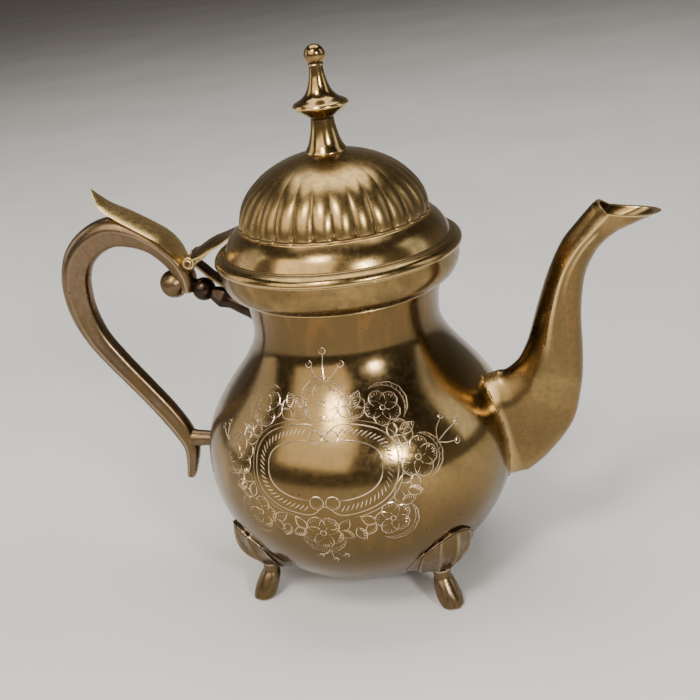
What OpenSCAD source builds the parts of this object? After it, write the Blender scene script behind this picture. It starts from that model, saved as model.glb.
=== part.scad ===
// Footed brass teapot with a hinged fluted-dome lid, beaked spout and cast S handle.
// Origin: on the pot's axis, at the level the feet stand on. +X to the spout, +Z up. Millimetres.

/* [Body] */
// Greatest width of the round body
body_d = 128; // [108:1:154]
// Height of the widest point above the table
belly_h = 57; // [50:1:68]
// Height of the flat bottom above the table
bottom_h = 7; // [5:0.5:9]
// Outside width of the neck at its waist
neck_d = 75.2; // [66:0.2:90.4]
// Height of the neck's waist
neck_h = 113; // [100:1:118]
// Height of the top edge of the collar
rim_h = 140.6; // [136:0.2:169]
// Wall of the spun sheet
wall = 1.2; // [0.9:0.1:1.5]
// Extra width of the neck where the collar grips it
neck_flare = 2.2; // [1.5:0.1:3]

/* [Collar] */
// Height of the collar band
collar_h = 13.6; // [11:0.2:16]
// How far the bowl of the collar stands out from the neck
collar_swell = 7.7; // [6:0.1:9]

/* [Lid] */
// How far the lid's brim reaches past the collar
brim_reach = 1.5; // [0.5:0.1:2.5]
// Gap between the closed lid and the collar
lid_gap = 0.3; // [0.2:0.05:0.6]
// Height of the convex shoulder between brim and dome
shoulder_h = 13.2; // [10:0.2:16]
// Outside width of the fluted dome
dome_d = 75; // [62:0.2:82]
// Height of the dome above the shoulder
dome_h = 26.6; // [20:0.2:34]
// Depth of the locating ring under the lid
bezel_h = 6; // [4:0.5:8]
// Side clearance of the locating ring in the collar
bezel_gap = 0.6; // [0.4:0.1:1]
// Height of the finial above the dome
finial_h = 40.2; // [30:0.2:50]
// Width of the finial's disc
finial_disc_d = 21.4; // [16:0.2:26]
// Diameter of the finial's stud
stud_d = 4; // [3:0.5:5]

/* [Hinge] */
// Diameter of the hinge pin
pin_d = 2.4; // [1.8:0.04:3]
// Outside diameter of the knuckles
knuckle_d = 5.2; // [4.2:0.04:6.4]
// Running clearance between the pin and the lid's knuckles
pin_gap = 0.05; // [0.02:0.01:0.1]
// Width of the middle knuckle
mid_knuckle_w = 7; // [5:0.5:9]
// Width of each outer knuckle
side_knuckle_w = 5; // [4:0.5:7]
// Side gap between neighbouring knuckles
knuckle_gap = 0.3; // [0.2:0.05:0.5]
// Distance from the brim's edge out to the pin
pin_out = 11.9; // [10:0.1:14]

/* [Spout] */
// Height of the spout's tip above the collar's top edge
tip_above_rim = 10.3; // [6:0.1:16]
// Reach of the spout's tip beyond the belly
spout_reach = 59.3; // [48:0.1:72]
// Wall of the spout
spout_wall = 1.3; // [1:0.1:1.8]
// Width of the slot through the body behind the spout
slot_w = 12; // [9:0.5:13]
// Height of that slot
slot_h = 28; // [22:1:32]
// Height of the slot's middle above the belly
slot_up = 8; // [4:1:12]
// Diameter of each strainer hole
strainer_hole_d = 2.6; // [2:0.1:3]

/* [Handle] */
// Height of the lug that holds the handle's lower end
lug_h = 56.5; // [50:0.5:64]
// Diameter of the lug
lug_d = 7.8; // [6:0.1:9]
// Depth of the handle, front to back
handle_depth = 10.4; // [8:0.1:13]
// Half width of the thumb leaf
leaf_half_w = 8.2; // [6:0.1:10]
// Diameter of the bead on the upper arm
bead_d = 9.8; // [7:0.1:11]

/* [Feet] */
// Angle of each foot from the line through spout and handle
foot_azimuth = 41; // [36:1:50]
// Distance from the axis to the middle of each foot's sole
foot_ring_r = 53; // [44:0.1:64]
// Radius of each sole
sole_r = 3.6; // [3:0.1:4.5]
// Half width of the scalloped shell
shell_half_w = 16; // [13:0.5:19]
// Height of the shell's upper edge
shell_top_h = 38; // [34:0.5:42]

/* [Hidden] */
$fn = 96;

old_brass = "#8f7a3e";
bright_brass = "#c9a24a";
copper_brown = "#7a5a3c";
burnt_brass = "#3d2e22";

solder = 0.3;        // how far a soldered piece bites into the sheet it is soldered to
belly_r = body_d / 2;
neck_r = neck_d / 2;
bowl_depth = 55.5;   // half height of the ellipse that the lower body follows
shoulder_bend = 1.27; // above 1 keeps the upper body full before it runs in to the neck

// ---------- curves ----------

// Smooth curve through points of any dimension, n steps to a span
function spline(p, n) = concat(
  [for (i = [0:len(p) - 2]) for (k = [0:n - 1]) spline_at(p, i, k / n)],
  [p[len(p) - 1]]
);
function spline_at(p, i, t) =
  let (a = p[max(i - 1, 0)], b = p[i], c = p[i + 1], d = p[min(i + 2, len(p) - 1)])
  0.5 * (2 * b + (c - a) * t + (2 * a - 5 * b + 4 * c - d) * t * t + (3 * b - a - 3 * c + d) * t * t * t);

function reversed(list) = [for (i = [len(list) - 1:-1:0]) list[i]];
function flat(list) = [for (part = list) for (item = part) item];
function mean(list) = [for (i = [0:len(list) - 1]) 1] * list / len(list);
function unit(v) = v / norm(v);

// The line moved sideways by d, to the left of its direction of travel
function shifted(line, d) = [
  for (i = [0:len(line) - 1])
    let (t = unit(line[min(i + 1, len(line) - 1)] - line[max(i - 1, 0)]))
      line[i] + d * [-t[1], t[0]]
];

// ---------- lofted solids ----------

function ring_strip(from, n, rows, flip) = [
  for (i = [0:rows - 2]) for (j = [0:n - 1])
    let (a = from + i * n + j, b = from + i * n + (j + 1) % n, c = a + n, d = b + n)
      for (f = flip ? [[a, b, d], [a, d, c]] : [[a, d, b], [a, c, d]]) f
];

// A solid skin over rings of equal size, closed by a fan of faces at each end
module loft(rings) {
  n = len(rings[0]);
  rows = len(rings);
  last = (rows - 1) * n;
  points = concat(flat(rings), [mean(rings[0]), mean(rings[rows - 1])]);
  first_cap = [for (j = [0:n - 1]) [rows * n, j, (j + 1) % n]];
  last_cap = [for (j = [0:n - 1]) [rows * n + 1, last + (j + 1) % n, last + j]];
  polyhedron(points, concat(ring_strip(0, n, rows, false), first_cap, last_cap));
}

// A pipe between outer and inner rings, open at both ends
module pipe(outer, inner) {
  n = len(outer[0]);
  rows = len(outer);
  all = rows * n;
  last = all - n;
  near_end = [
    for (j = [0:n - 1]) let (k = (j + 1) % n) for (f = [[j, k, all + k], [j, all + k, all + j]]) f
  ];
  far_end = [
    for (j = [0:n - 1]) let (k = (j + 1) % n)
      for (f = [[last + j, all + last + k, last + k], [last + j, all + last + j, all + last + k]]) f
  ];
  polyhedron(
    concat(flat(outer), flat(inner)),
    concat(ring_strip(0, n, rows, false), ring_strip(all, n, rows, true), near_end, far_end)
  );
}

// ---------- body ----------

neck_top_r = neck_r + neck_flare;
collar_foot_h = rim_h - collar_h;
neck_top_h = collar_foot_h + 3;   // the neck's sheet ends inside the collar

// Outside radius of the body at a height
function body_r(z) =
  z < belly_h ? belly_r * sqrt(max(0, 1 - pow((belly_h - z) / bowl_depth, 2)))
  : z < neck_h ? neck_r + (belly_r - neck_r)
    * (1 + cos(180 * pow((z - belly_h) / (neck_h - belly_h), shoulder_bend))) / 2
  : z < collar_foot_h ? neck_r + neck_flare * pow((z - neck_h) / (collar_foot_h - neck_h), 2)
  : neck_top_r;

body_rows = 56;
body_line = concat(
  [for (i = [0:body_rows]) let (z = bottom_h + (collar_foot_h - bottom_h) * i / body_rows) [body_r(z), z]],
  [[neck_top_r, neck_top_h]]
);
body_inner_line = shifted(body_line, wall);
base_disc_r = body_r(bottom_h) - wall - solder;
bottom_hole_r = base_disc_r - 3.5;   // inner edge of the lip that the base disc lies on

// The whole body as a solid, its skin moved inwards by inset
module body_core(inset) {
  rotate_extrude()
    polygon(concat([[0, bottom_h + inset]], shifted(body_line, inset), [[0, neck_top_h]]));
}

// A round-ended slot cut along X, at the spout's side
module slot(width, height, from_x, to_x) {
  rise = (height - width) / 2;
  translate([from_x, 0, belly_h + slot_up])
    for (up = [-rise, rise]) translate([0, 0, up])
      rotate([0, 90, 0]) cylinder(d = width, h = to_x - from_x);
  translate([from_x, -width / 2, belly_h + slot_up - rise])
    cube([to_x - from_x, width, 2 * rise]);
}

module body_shell() {
  lip_top = bottom_h + wall;
  inside = [for (p = body_inner_line) if (p[1] > lip_top + 0.6) p];
  color(old_brass) difference() {
    rotate_extrude() polygon(concat(
      [[bottom_hole_r, bottom_h]], body_line,
      [[neck_top_r - wall, neck_top_h]], reversed([for (p = inside) if (p[1] < neck_top_h - 0.6) p]),
      [[base_disc_r, lip_top], [bottom_hole_r, lip_top]]
    ));
    slot(slot_w, slot_h, belly_r * 0.7, belly_r + 5);
  }
}

module base_disc() {
  color(old_brass) translate([0, 0, bottom_h + wall]) cylinder(r = base_disc_r, h = wall);
}

// ---------- collar ----------

collar_r = neck_top_r + collar_swell;   // outside radius of the bowl at its widest
collar_in_r = collar_r - wall;
collar_bead = 1;     // width of the step at the collar's foot
bead_h = 0.8;        // height of that step
collar_edge_h = 3.8; // straight part below the top edge

// The bowl swells out in a quarter ellipse, then stands straight up to the edge
widen_h = collar_h - bead_h - collar_edge_h;
function collar_line(inset) = concat(
  [for (a = [0:10:90])
    [neck_top_r + collar_bead + (collar_swell - collar_bead) * sin(a) - inset,
     collar_foot_h + bead_h + widen_h * (1 - cos(a)) + inset * 0.9]],
  [[collar_r - inset, rim_h]]
);

// Inside radius of the bowl at a height
function collar_inside_r(z) =
  let (c = 1 - (z - collar_foot_h - bead_h - wall * 0.9) / widen_h)
  c < 0 ? collar_in_r : neck_top_r + collar_bead - wall + (collar_swell - collar_bead) * sqrt(1 - c * c);

module collar() {
  color(old_brass) rotate_extrude() polygon(concat(
    [[neck_top_r, collar_foot_h], [neck_top_r + collar_bead, collar_foot_h]],
    collar_line(0),
    reversed(collar_line(wall)),
    [[neck_top_r, collar_foot_h + bead_h + wall * 0.9]]
  ));
}

// ---------- lid ----------

brim_r = collar_r + brim_reach;
brim_z = rim_h + lid_gap;
dome_r = dome_d / 2;
dome_z = rim_h + shoulder_h;
dome_seat = 1.4;     // width of the ring on which the dome stands
bezel_r = collar_inside_r(brim_z - bezel_h) - bezel_gap;
ridge_r = brim_r - 4;
ridge_z = brim_z + 4;
shoulder_bulge = 0.9; // how far the shoulder bulges above a straight slope

// Outside of the rounded brim and the sloping shoulder, from the edge inwards
lid_line = concat(
  [[brim_r - 0.4, brim_z], [brim_r, brim_z + 0.6], [brim_r - 0.1, brim_z + 1.5], [brim_r - 0.8, brim_z + 2.6],
   [brim_r - 2.1, brim_z + 3.5], [ridge_r + 0.5, ridge_z - 0.1], [ridge_r, ridge_z + 0.1]],
  [for (i = [0:6]) let (t = i / 6, bulge = shoulder_bulge * sin(180 * t))
    [ridge_r - 0.4 + t * (dome_r + 1 - ridge_r) + bulge * 0.8, ridge_z + t * (dome_z - ridge_z) + bulge * 0.6]]
);

function dome_point(a, inset) = [(dome_r - inset) * cos(a), dome_z + (dome_h - inset) * sin(a)];
function dome_top(r, inset) = dome_z + (dome_h - inset) * sqrt(1 - pow(r / (dome_r - inset), 2));

module lid_brim() {
  under = shifted(lid_line, wall);
  inside = [for (p = under) if (p[0] < ridge_r - wall && p[0] > dome_r - dome_seat + 0.4) p];
  color(old_brass) rotate_extrude() polygon(concat(
    lid_line, [[dome_r - dome_seat, dome_z], [dome_r - dome_seat, dome_z - wall]],
    reversed([for (p = inside) [p[0], min(p[1], dome_z - wall)]]),
    [[bezel_r - wall, brim_z + 1.2], [bezel_r - wall, brim_z]]
  ));
}

module lid_dome() {
  hole_r = stud_d / 2 + stud_gap;
  top_a = acos(hole_r / dome_r);
  top_in_a = acos(hole_r / (dome_r - wall));
  color(old_brass) rotate_extrude() polygon(concat(
    [for (i = [0:24]) dome_point(top_a * i / 24, 0)],
    [for (i = [24:-1:0]) dome_point(top_in_a * i / 24, wall)]
  ));
}

module lid_bezel() {
  color(old_brass) translate([0, 0, brim_z - bezel_h]) difference() {
    cylinder(r = bezel_r, h = bezel_h);
    translate([0, 0, -1]) cylinder(r = bezel_r - wall, h = bezel_h + 2);
  }
}

// ---------- finial, washer and nut ----------

finial_base_r = 8.1;
stud_gap = 0.1;
disc_r = finial_disc_d / 2;
washer_r = 6;
washer_t = 1;
nut_t = 3.2;
nut_af = 7;
washer_z = dome_top(washer_r, wall) - washer_t;

// Radius and share of the finial's height, from the foot up
finial_outline = spline([
  [finial_base_r, 0], [6.3, 0.09], [5, 0.2], [4.6, 0.31], [6.2, 0.35], [disc_r - 1, 0.42],
  [disc_r, 0.446], [disc_r - 1, 0.475], [6.4, 0.52], [4.2, 0.6], [3, 0.7], [2.6, 0.81]
], 5);

module finial() {
  ball_r = finial_h * 0.1;
  foot_z = dome_top(finial_base_r, 0);
  stem_top = foot_z + finial_h * 0.81;
  color(bright_brass) union() {
    rotate_extrude() polygon(concat(
      [for (i = [0:6]) let (r = finial_base_r * i / 6) [r, dome_top(r, 0)]],
      [for (p = finial_outline) if (p[1] > 0) [p[0], foot_z + finial_h * p[1]]],
      [[0, stem_top]]
    ));
    translate([0, 0, foot_z + finial_h - ball_r]) sphere(r = ball_r);
    translate([0, 0, washer_z - nut_t - 1.5]) cylinder(d = stud_d, h = dome_top(0, 0) - washer_z + nut_t + 3);
  }
}

module finial_washer() {
  color(bright_brass) translate([0, 0, washer_z]) difference() {
    cylinder(r = washer_r, h = washer_t);
    translate([0, 0, -1]) cylinder(r = stud_d / 2 + stud_gap, h = washer_t + 2);
  }
}

module finial_nut() {
  color(bright_brass) translate([0, 0, washer_z - nut_t]) difference() {
    cylinder(d = nut_af / cos(30), h = nut_t, $fn = 6);
    translate([0, 0, -1]) cylinder(d = stud_d, h = nut_t + 2);
  }
}

// ---------- hinge ----------

pin_x = -(brim_r + pin_out);
pin_z = rim_h - 1.3;
knuckle_r = knuckle_d / 2;
pin_len = mid_knuckle_w + 2 * (knuckle_gap + side_knuckle_w + knuckle_gap);
leaf_sheet = 1.4;
strap_t = 1.8;

module along_y(x, z, width) {
  translate([x, width / 2, z]) rotate([90, 0, 0]) linear_extrude(width) children();
}

// Side view of a bent strip: a line with a thickness
module strip(line, t) {
  polygon(concat(shifted(line, t / 2), reversed(shifted(line, -t / 2))));
}

module hinge_pin() {
  head_r = pin_d / 2 + 0.5;
  head_t = 0.6;
  color(burnt_brass) translate([pin_x, 0, pin_z]) rotate([90, 0, 0]) {
    cylinder(d = pin_d, h = pin_len, center = true);
    for (side = [-1, 1]) translate([0, 0, side * (pin_len + head_t) / 2])
      cylinder(r = head_r, h = head_t, center = true);
  }
}

// Strap soldered to the neck under the collar, curling up into the middle knuckle
module hinge_strap() {
  sole_z = collar_foot_h - strap_t / 2 - 0.5;
  line = spline([
    [pin_x - knuckle_r + strap_t / 2 + 0.2, pin_z - 1.2], [pin_x + 1.6, pin_z - 3.6],
    [pin_x + 7, pin_z - 8.6], [-(neck_top_r + 5.5), sole_z - 0.3], [-(neck_top_r - 3), sole_z]
  ], 6);
  color(burnt_brass) difference() {
    union() {
      along_y(pin_x, pin_z, mid_knuckle_w) circle(r = knuckle_r);
      along_y(0, 0, mid_knuckle_w) strip(line, strap_t);
    }
    along_y(pin_x, pin_z, mid_knuckle_w + 2) circle(d = pin_d);
    body_core(solder);
  }
}

// Domed plate on the brim with the two outer knuckles
module lid_leaf() {
  leaf_w = mid_knuckle_w + 2 * (knuckle_gap + side_knuckle_w);
  top = spline([
    [pin_x - 0.6, pin_z + knuckle_r - 0.1], [pin_x + 4, pin_z + 5.6], [pin_x + 9, pin_z + 8.4],
    [pin_x + 15, pin_z + 10.4], [pin_x + 19.6, pin_z + 12]
  ], 5);
  end = top[len(top) - 1];
  color(old_brass) difference() {
    union() {
      along_y(pin_x, pin_z, leaf_w) circle(r = knuckle_r);
      along_y(0, 0, leaf_w) polygon(concat(
        top, [[end[0] + 0.4, end[1] - leaf_sheet], [-(brim_r - 1), brim_z]],
        [[-(brim_r + 1.5), brim_z + 0.8], [pin_x + knuckle_r - 0.2, pin_z + 1]]
      ));
    }
    along_y(pin_x, pin_z, leaf_w + 2) circle(d = pin_d + 2 * pin_gap);
    // room for the strap's knuckle
    along_y(pin_x, pin_z, mid_knuckle_w + 2 * knuckle_gap) circle(r = knuckle_r + 0.9);
    rotate_extrude() polygon(concat(lid_line, [[0, dome_z], [0, brim_z]]));
    translate([0, 0, dome_z - 0.01]) cylinder(r = dome_r + 0.3, h = dome_h);
  }
}

// ---------- spout ----------

spout_rise = rim_h + tip_above_rim - belly_h;
drawn_rise = 93.9;    // tip height in the outline below
drawn_reach = 59.3;   // tip reach in the outline below
face_steps = 8;       // points across the flattish inner face
keel_steps = 16;      // points round the keel

// Each section: inner point, outer point (out from the belly, up from the belly),
// half width, and how far along the section its sharp side edges lie
spout_sections = [
  [-4, 31, 6, -12.8, 9.6, 0.285],
  [-0.8, 31.6, 14.5, -5, 9.5, 0.3],
  [4, 35.7, 24.4, 9, 9.2, 0.32],
  [7, 41, 28.4, 25, 9, 0.34],
  [9.2, 46.4, 29.4, 38.5, 8.7, 0.34],
  [13.4, 60.2, 29.4, 55.5, 8.2, 0.35],
  [18.3, 73.8, 31.4, 70, 7.8, 0.37],
  [23.4, 84, 35.4, 78.8, 7.6, 0.42],
  [29.4, 91.4, 39.6, 83.8, 7.5, 0.44],
  [34.7, 97.4, 44.4, 87.3, 7.4, 0.42]
];
tongue_end = [36.6, 98.8];
edge_end = [40.5, 95.2];
tip = [drawn_reach, drawn_rise];
beak_rows = 6;

// From the outline's own measures to the pot's
function spout_xz(p) = [belly_r + p[0] * spout_reach / drawn_reach, belly_h + p[1] * spout_rise / drawn_rise];

// Share of the section's depth and of its half width, for each point round it
section_shape = concat(
  [for (j = [0:face_steps]) let (y = 2 * j / face_steps - 1) [y * y, y, true]],
  [for (j = [1:keel_steps - 1]) let (a = 180 * j / keel_steps) [sin(a), cos(a), false]]
);

function section_ring(s, inset) =
  let (
    i = spout_xz([s[0], s[1]]), o = spout_xz([s[2], s[3]]), dir = unit(o - i),
    top = i + inset * dir, deep = o - inset * dir, w = s[4] - inset, c = s[5]
  )
  [for (p = section_shape)
    let (u = p[2] ? c * p[0] : c + (1 - c) * p[0], q = top + u * (deep - top)) [q[0], w * p[1], q[1]]];

// The root ring lies on the body's skin
function root_ring(inset) = [
  for (p = section_ring(spout_sections[0], inset))
    let (z = belly_h + (p[2] - belly_h) * 1.03) [sqrt(pow(body_r(z) - solder, 2) - p[1] * p[1]), p[1], z]
];

// The mouth: across the end of the tongue, then along both edges of the beak to its tip
function mouth_ring(inset) =
  let (
    last = spout_sections[len(spout_sections) - 1],
    t = spout_xz(tongue_end), e = spout_xz(edge_end), p_tip = spout_xz(tip) - [1.6 * inset, 0],
    w = last[4] - inset, dir = unit(e - t)
  )
  [for (p = section_shape)
    let (f = p[2] ? 0 : pow(p[0], 1.25), q = p[2] ? t + inset * dir + p[0] * (e - t - inset * dir)
      : e + f * (p_tip - e) + [0, 8 * f * (1 - f)])
      [q[0], p[2] ? w * p[1] : w * sign(p[1]) * pow(max(0, 1 - pow(f, 2.4)), 0.8), q[1]]];

function spout_rings(inset) =
  let (
    planar = [for (s = spline(spout_sections, 3)) section_ring(s, inset)],
    last = planar[len(planar) - 1], mouth = mouth_ring(inset)
  )
  concat([root_ring(inset)], planar, [for (k = [1:beak_rows]) last + (mouth - last) * k / beak_rows]);

module spout() {
  color(old_brass) pipe(reversed(spout_rings(0)), reversed(spout_rings(spout_wall)));
}

// Pierced plate soldered inside the body, over the slot
module spout_strainer() {
  lap = 3;
  row_pitch = strainer_hole_d * 1.65;
  rows = floor((slot_h / 2 - strainer_hole_d) / row_pitch);
  color(bright_brass) difference() {
    intersection() {
      rotate_extrude() polygon(concat(body_inner_line, reversed(shifted(body_line, wall + 0.8))));
      slot(slot_w + 2 * lap, slot_h + 2 * lap, belly_r * 0.6, belly_r);
    }
    for (row = [-rows:rows]) for (col = [-1:1])
      let (y = col * row_pitch, z = belly_h + slot_up + row * row_pitch)
        translate([belly_r * 0.5, y, z]) rotate([0, 90, 0]) cylinder(d = strainer_hole_d, h = belly_r);
  }
}

// ---------- handle ----------

handle_rise = pin_z - lug_h;
handle_drawn = 82.8;  // lug-to-pin height in the outlines below
lug_x = -belly_r;

// The handle hangs between the lug and the hinge pin: out from the line that joins them, up from the lug
function handle_xz(p) =
  let (v = p[1] / handle_drawn) [lug_x + v * (pin_x - lug_x) - p[0], lug_h + v * handle_rise];
// The same for a whole line of stations, with the depth share times half_depth
function handle_stations(line, half_depth) =
  [for (p = spline(line, 3)) concat(handle_xz(p), [p[2], p[3] * half_depth])];

// Middle line of the handle with its thickness and depth, from the head round to the tail
handle_line = [
  [5.4, 68.5, 7, 0.8], [5.8, 74, 9, 0.95], [8.5, 80.5, 8.5, 1], [13.7, 86, 8.2, 1],
  [19.4, 90.3, 9, 1], [27.6, 93.8, 11.4, 1], [36.6, 94.8, 12.9, 1], [45.4, 91.2, 13, 1],
  [52.2, 84.9, 13, 1], [55.6, 76.7, 12.8, 1], [56.2, 68, 12.6, 1], [54.6, 58.5, 11.8, 0.97],
  [49.8, 47.3, 10.4, 0.94], [41.6, 36.1, 9.6, 0.92], [31.6, 24, 9.2, 0.9], [22.8, 12.8, 9.2, 0.88],
  [16.8, 3.5, 8.6, 0.85], [14, -4, 6.8, 0.75], [14.8, -13, 4, 0.55], [16.4, -19, 2.2, 0.35]
];
scroll_at = [11.2, 71.6];
scroll_r = 6;
// Half of the handle's section: share of the thickness outwards, share of the half depth
handle_half = [[0.5, 0], [0.46, 0.45], [0.33, 0.82], [0.12, 1], [-0.25, 0.86], [-0.45, 0.6], [-0.5, 0]];
handle_shape = concat(handle_half, reversed([for (i = [1:5]) [handle_half[i][0], -handle_half[i][1]]]));

// Rings across a line of [x, z, thickness, half depth], outwards being to the line's left
function bar_rings(line, shape) = [
  for (i = [0:len(line) - 1])
    let (
      a = line[max(i - 1, 0)], b = line[min(i + 1, len(line) - 1)],
      t = unit([b[0] - a[0], b[1] - a[1]]), out = [t[1], -t[0]]
    )
    [for (s = shape)
      [line[i][0] + out[0] * s[0] * line[i][2], s[1] * line[i][3], line[i][1] + out[1] * s[0] * line[i][2]]]
];

module handle() {
  ball = handle_xz(scroll_at);
  color(copper_brown) union() {
    loft(bar_rings(handle_stations(handle_line, handle_depth / 2), handle_shape));
    translate([ball[0], 0, ball[1]]) sphere(r = scroll_r);
  }
}

// Ribbon of brass lying on the arch of the handle and running out to a point
module thumb_leaf() {
  line = [
    [2.6, 77.1, 1.6, 0.42], [5.5, 82.3, 1.7, 0.66], [8.6, 87.4, 1.8, 0.86], [13.5, 92.4, 1.8, 0.97],
    [21.8, 97.5, 1.8, 1], [29.8, 102, 1.8, 0.94], [36.4, 105.8, 1.6, 0.74], [39.9, 109.8, 1.2, 0.4],
    [42.2, 113.4, 0.4, 0.05]
  ];
  lens = [[0, -1], [0.35, -0.6], [0.5, 0], [0.35, 0.6], [0, 1], [-0.35, 0.6], [-0.5, 0], [-0.35, -0.6]];
  color(bright_brass) loft(bar_rings(handle_stations(line, leaf_half_w), lens));
}

// Turned bead arm from the handle's head to the neck, clear of the hinge strap above it
arm_drop = 13;        // how far below the collar's foot the arm's middle line enters the neck

module upper_arm() {
  head = handle_xz([6.2, 72.5]);
  foot = [-(neck_r - 3), collar_foot_h - arm_drop];
  length = norm(foot - head);
  ball_at = 8.5;
  outline = spline([
    [2.6, 2], [3.1, ball_at - 4], [bead_d / 2, ball_at], [3.1, ball_at + 4.2], [3.2, ball_at + 5],
    [4.6, ball_at + 9], [3.8, ball_at + 14], [4, length - 4], [5, length]
  ], 4);
  color(burnt_brass) difference() {
    translate([head[0], 0, head[1]])
      rotate([0, 90 + atan2(head[1] - foot[1], foot[0] - head[0]), 0])
        rotate_extrude() polygon(concat([[0, 2]], outline, [[0, length]]));
    body_core(solder);
  }
}

module lower_lug() {
  end = handle_xz([13.6, 0]);
  color(old_brass) difference() {
    translate([end[0], 0, end[1]]) rotate([0, 90, 0]) cylinder(d = lug_d, h = -end[0] - belly_r + 6);
    body_core(solder);
  }
}

// ---------- feet ----------

// Rows of the shell from its lip down to the leg: share of the half width, stand-off from
// the body's skin, height from the lip
shell_rows = [
  [0.9, 0.8, 0], [0.99, 3, -2.6], [0.97, 5.8, -8], [0.84, 8, -13.8], [0.6, 9, -19.6], [0.3, 8, -23.8]
];
shell_droop = 11;     // how much lower the shell is at its sides than in its middle
leg_top_h = 15.5;
leg_top_r = body_r(leg_top_h) + 5.7;
sole_pad_h = 3;

// Stations of the leg: share of the way out from its top to the sole, height, half widths out and across
leg_stations = [
  [0, leg_top_h, 3.2, 3.6], [0.08, 12, 3.8, 4], [0.38, 8, 4.6, 4.8],
  [0.75, 4, 5, 5.2], [1, 1, 4.6, 4.6], [1.04, 0.4, 4, 4]
];

module foot_shell() {
  rings = [for (row = reversed(spline(shell_rows, 2)))
    let (w = row[0] * shell_half_w)
      concat(
        [for (a = [-90:15:90]) shell_point(w * sin(a), shell_top_h + row[2], row[1] * cos(a))],
        [for (k = [2:-1:-2]) shell_point(w * k / 3, shell_top_h + row[2], -solder / 3)]
      )
  ];
  loft(rings);
}

// A point at stand-off from the body's skin, y across the shell
function shell_point(y, z, off) =
  let (low = z - shell_droop * pow(y / shell_half_w, 2)) [sqrt(pow(body_r(low), 2) - y * y) + off, y, low];

module foot_leg() {
  rings = [for (s = spline(leg_stations, 2)) let (r = leg_top_r + s[0] * (foot_ring_r - leg_top_r))
    [for (a = [0:22.5:337.5]) [r + s[2] * cos(a), s[3] * sin(a), s[1]]]];
  loft(reversed(rings));
}

module foot(azimuth) {
  color(copper_brown) rotate(azimuth) union() {
    foot_shell();
    foot_leg();
    translate([foot_ring_r, 0, 0]) cylinder(r = sole_r, h = sole_pad_h);
  }
}

module foot_front_right() { foot(-foot_azimuth); }
module foot_front_left() { foot(foot_azimuth - 180); }
module foot_rear_left() { foot(180 - foot_azimuth); }
module foot_rear_right() { foot(foot_azimuth); }

body_shell();
base_disc();
collar();
spout();
spout_strainer();
handle();
thumb_leaf();
upper_arm();
lower_lug();
hinge_strap();
hinge_pin();
foot_front_right();
foot_front_left();
foot_rear_left();
foot_rear_right();
lid_brim();
lid_dome();
lid_bezel();
lid_leaf();
finial();
finial_washer();
finial_nut();
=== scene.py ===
"""Footed brass teapot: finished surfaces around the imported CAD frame.

The file is laid out as an add-on and run as a script. Shapes are drawn in millimetres
and made in metres, in the frame's own axes: +X to the spout, +Z up, feet on the table at Z = 0.
"""
import math

import bmesh
import bpy
import numpy as np
from bpy.props import FloatProperty, FloatVectorProperty, IntProperty, PointerProperty
from bpy.types import Operator, Panel, PropertyGroup
from mathutils import Matrix, Vector


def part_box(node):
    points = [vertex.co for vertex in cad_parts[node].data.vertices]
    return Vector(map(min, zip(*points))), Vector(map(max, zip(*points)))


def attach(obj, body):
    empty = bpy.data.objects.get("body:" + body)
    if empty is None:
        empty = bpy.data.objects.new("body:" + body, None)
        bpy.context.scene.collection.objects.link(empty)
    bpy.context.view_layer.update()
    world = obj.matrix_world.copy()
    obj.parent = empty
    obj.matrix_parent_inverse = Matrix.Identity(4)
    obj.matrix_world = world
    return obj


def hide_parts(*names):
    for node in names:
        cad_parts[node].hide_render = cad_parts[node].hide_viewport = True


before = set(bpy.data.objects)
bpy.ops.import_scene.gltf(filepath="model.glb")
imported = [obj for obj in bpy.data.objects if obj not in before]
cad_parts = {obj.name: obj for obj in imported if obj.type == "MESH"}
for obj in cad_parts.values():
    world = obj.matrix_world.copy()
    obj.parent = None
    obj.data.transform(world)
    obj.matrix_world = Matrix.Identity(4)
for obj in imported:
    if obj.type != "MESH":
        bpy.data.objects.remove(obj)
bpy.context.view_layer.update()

bl_info = {
    "name": "Footed brass teapot",
    "version": (1, 0, 0),
    "blender": (4, 5, 0),
    "location": "3D View > Sidebar > Teapot",
    "description": "Finished surfaces of a footed brass teapot around its packed frame",
    "category": "Add Mesh",
}

MM = 0.001
FRONT = -math.pi / 2      # azimuth of the engraved front, as seen from the side


def box_mm(node):
    """Lowest and highest corner of a CAD node, in millimetres."""
    low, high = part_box(node)
    return low / MM, high / MM


BODY_LOW, BODY_HIGH = box_mm("body_shell")
COLLAR_LOW, COLLAR_HIGH = box_mm("collar")
BRIM_LOW, BRIM_HIGH = box_mm("lid_brim")
DOME_LOW, DOME_HIGH = box_mm("lid_dome")
BEZEL_HIGH = box_mm("lid_bezel")[1]
FINIAL_LOW, FINIAL_HIGH = box_mm("finial")
PIN_LOW, PIN_HIGH = box_mm("hinge_pin")
SPOUT_HIGH = box_mm("spout")[1]
LUG_LOW, LUG_HIGH = box_mm("lower_lug")
LEAF_HIGH = box_mm("thumb_leaf")[1]


# ---------- sizes and colours that a user may change ----------

def length(name, millimetres, text):
    """A length property. Its default is given in millimetres and kept in metres."""
    return FloatProperty(name=name, description=text, default=millimetres * MM, unit="LENGTH",
                         precision=5)


def colour(name, rgb, text):
    """A colour property, in linear red, green and blue."""
    return FloatVectorProperty(name=name, description=text, default=rgb, subtype="COLOR", size=3,
                               min=0, max=1)


class Millimetres:
    """Reads a group of length properties in millimetres."""

    def __init__(self, group):
        self.group = group

    def __getattr__(self, key):
        return getattr(self.group, key) / MM


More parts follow.
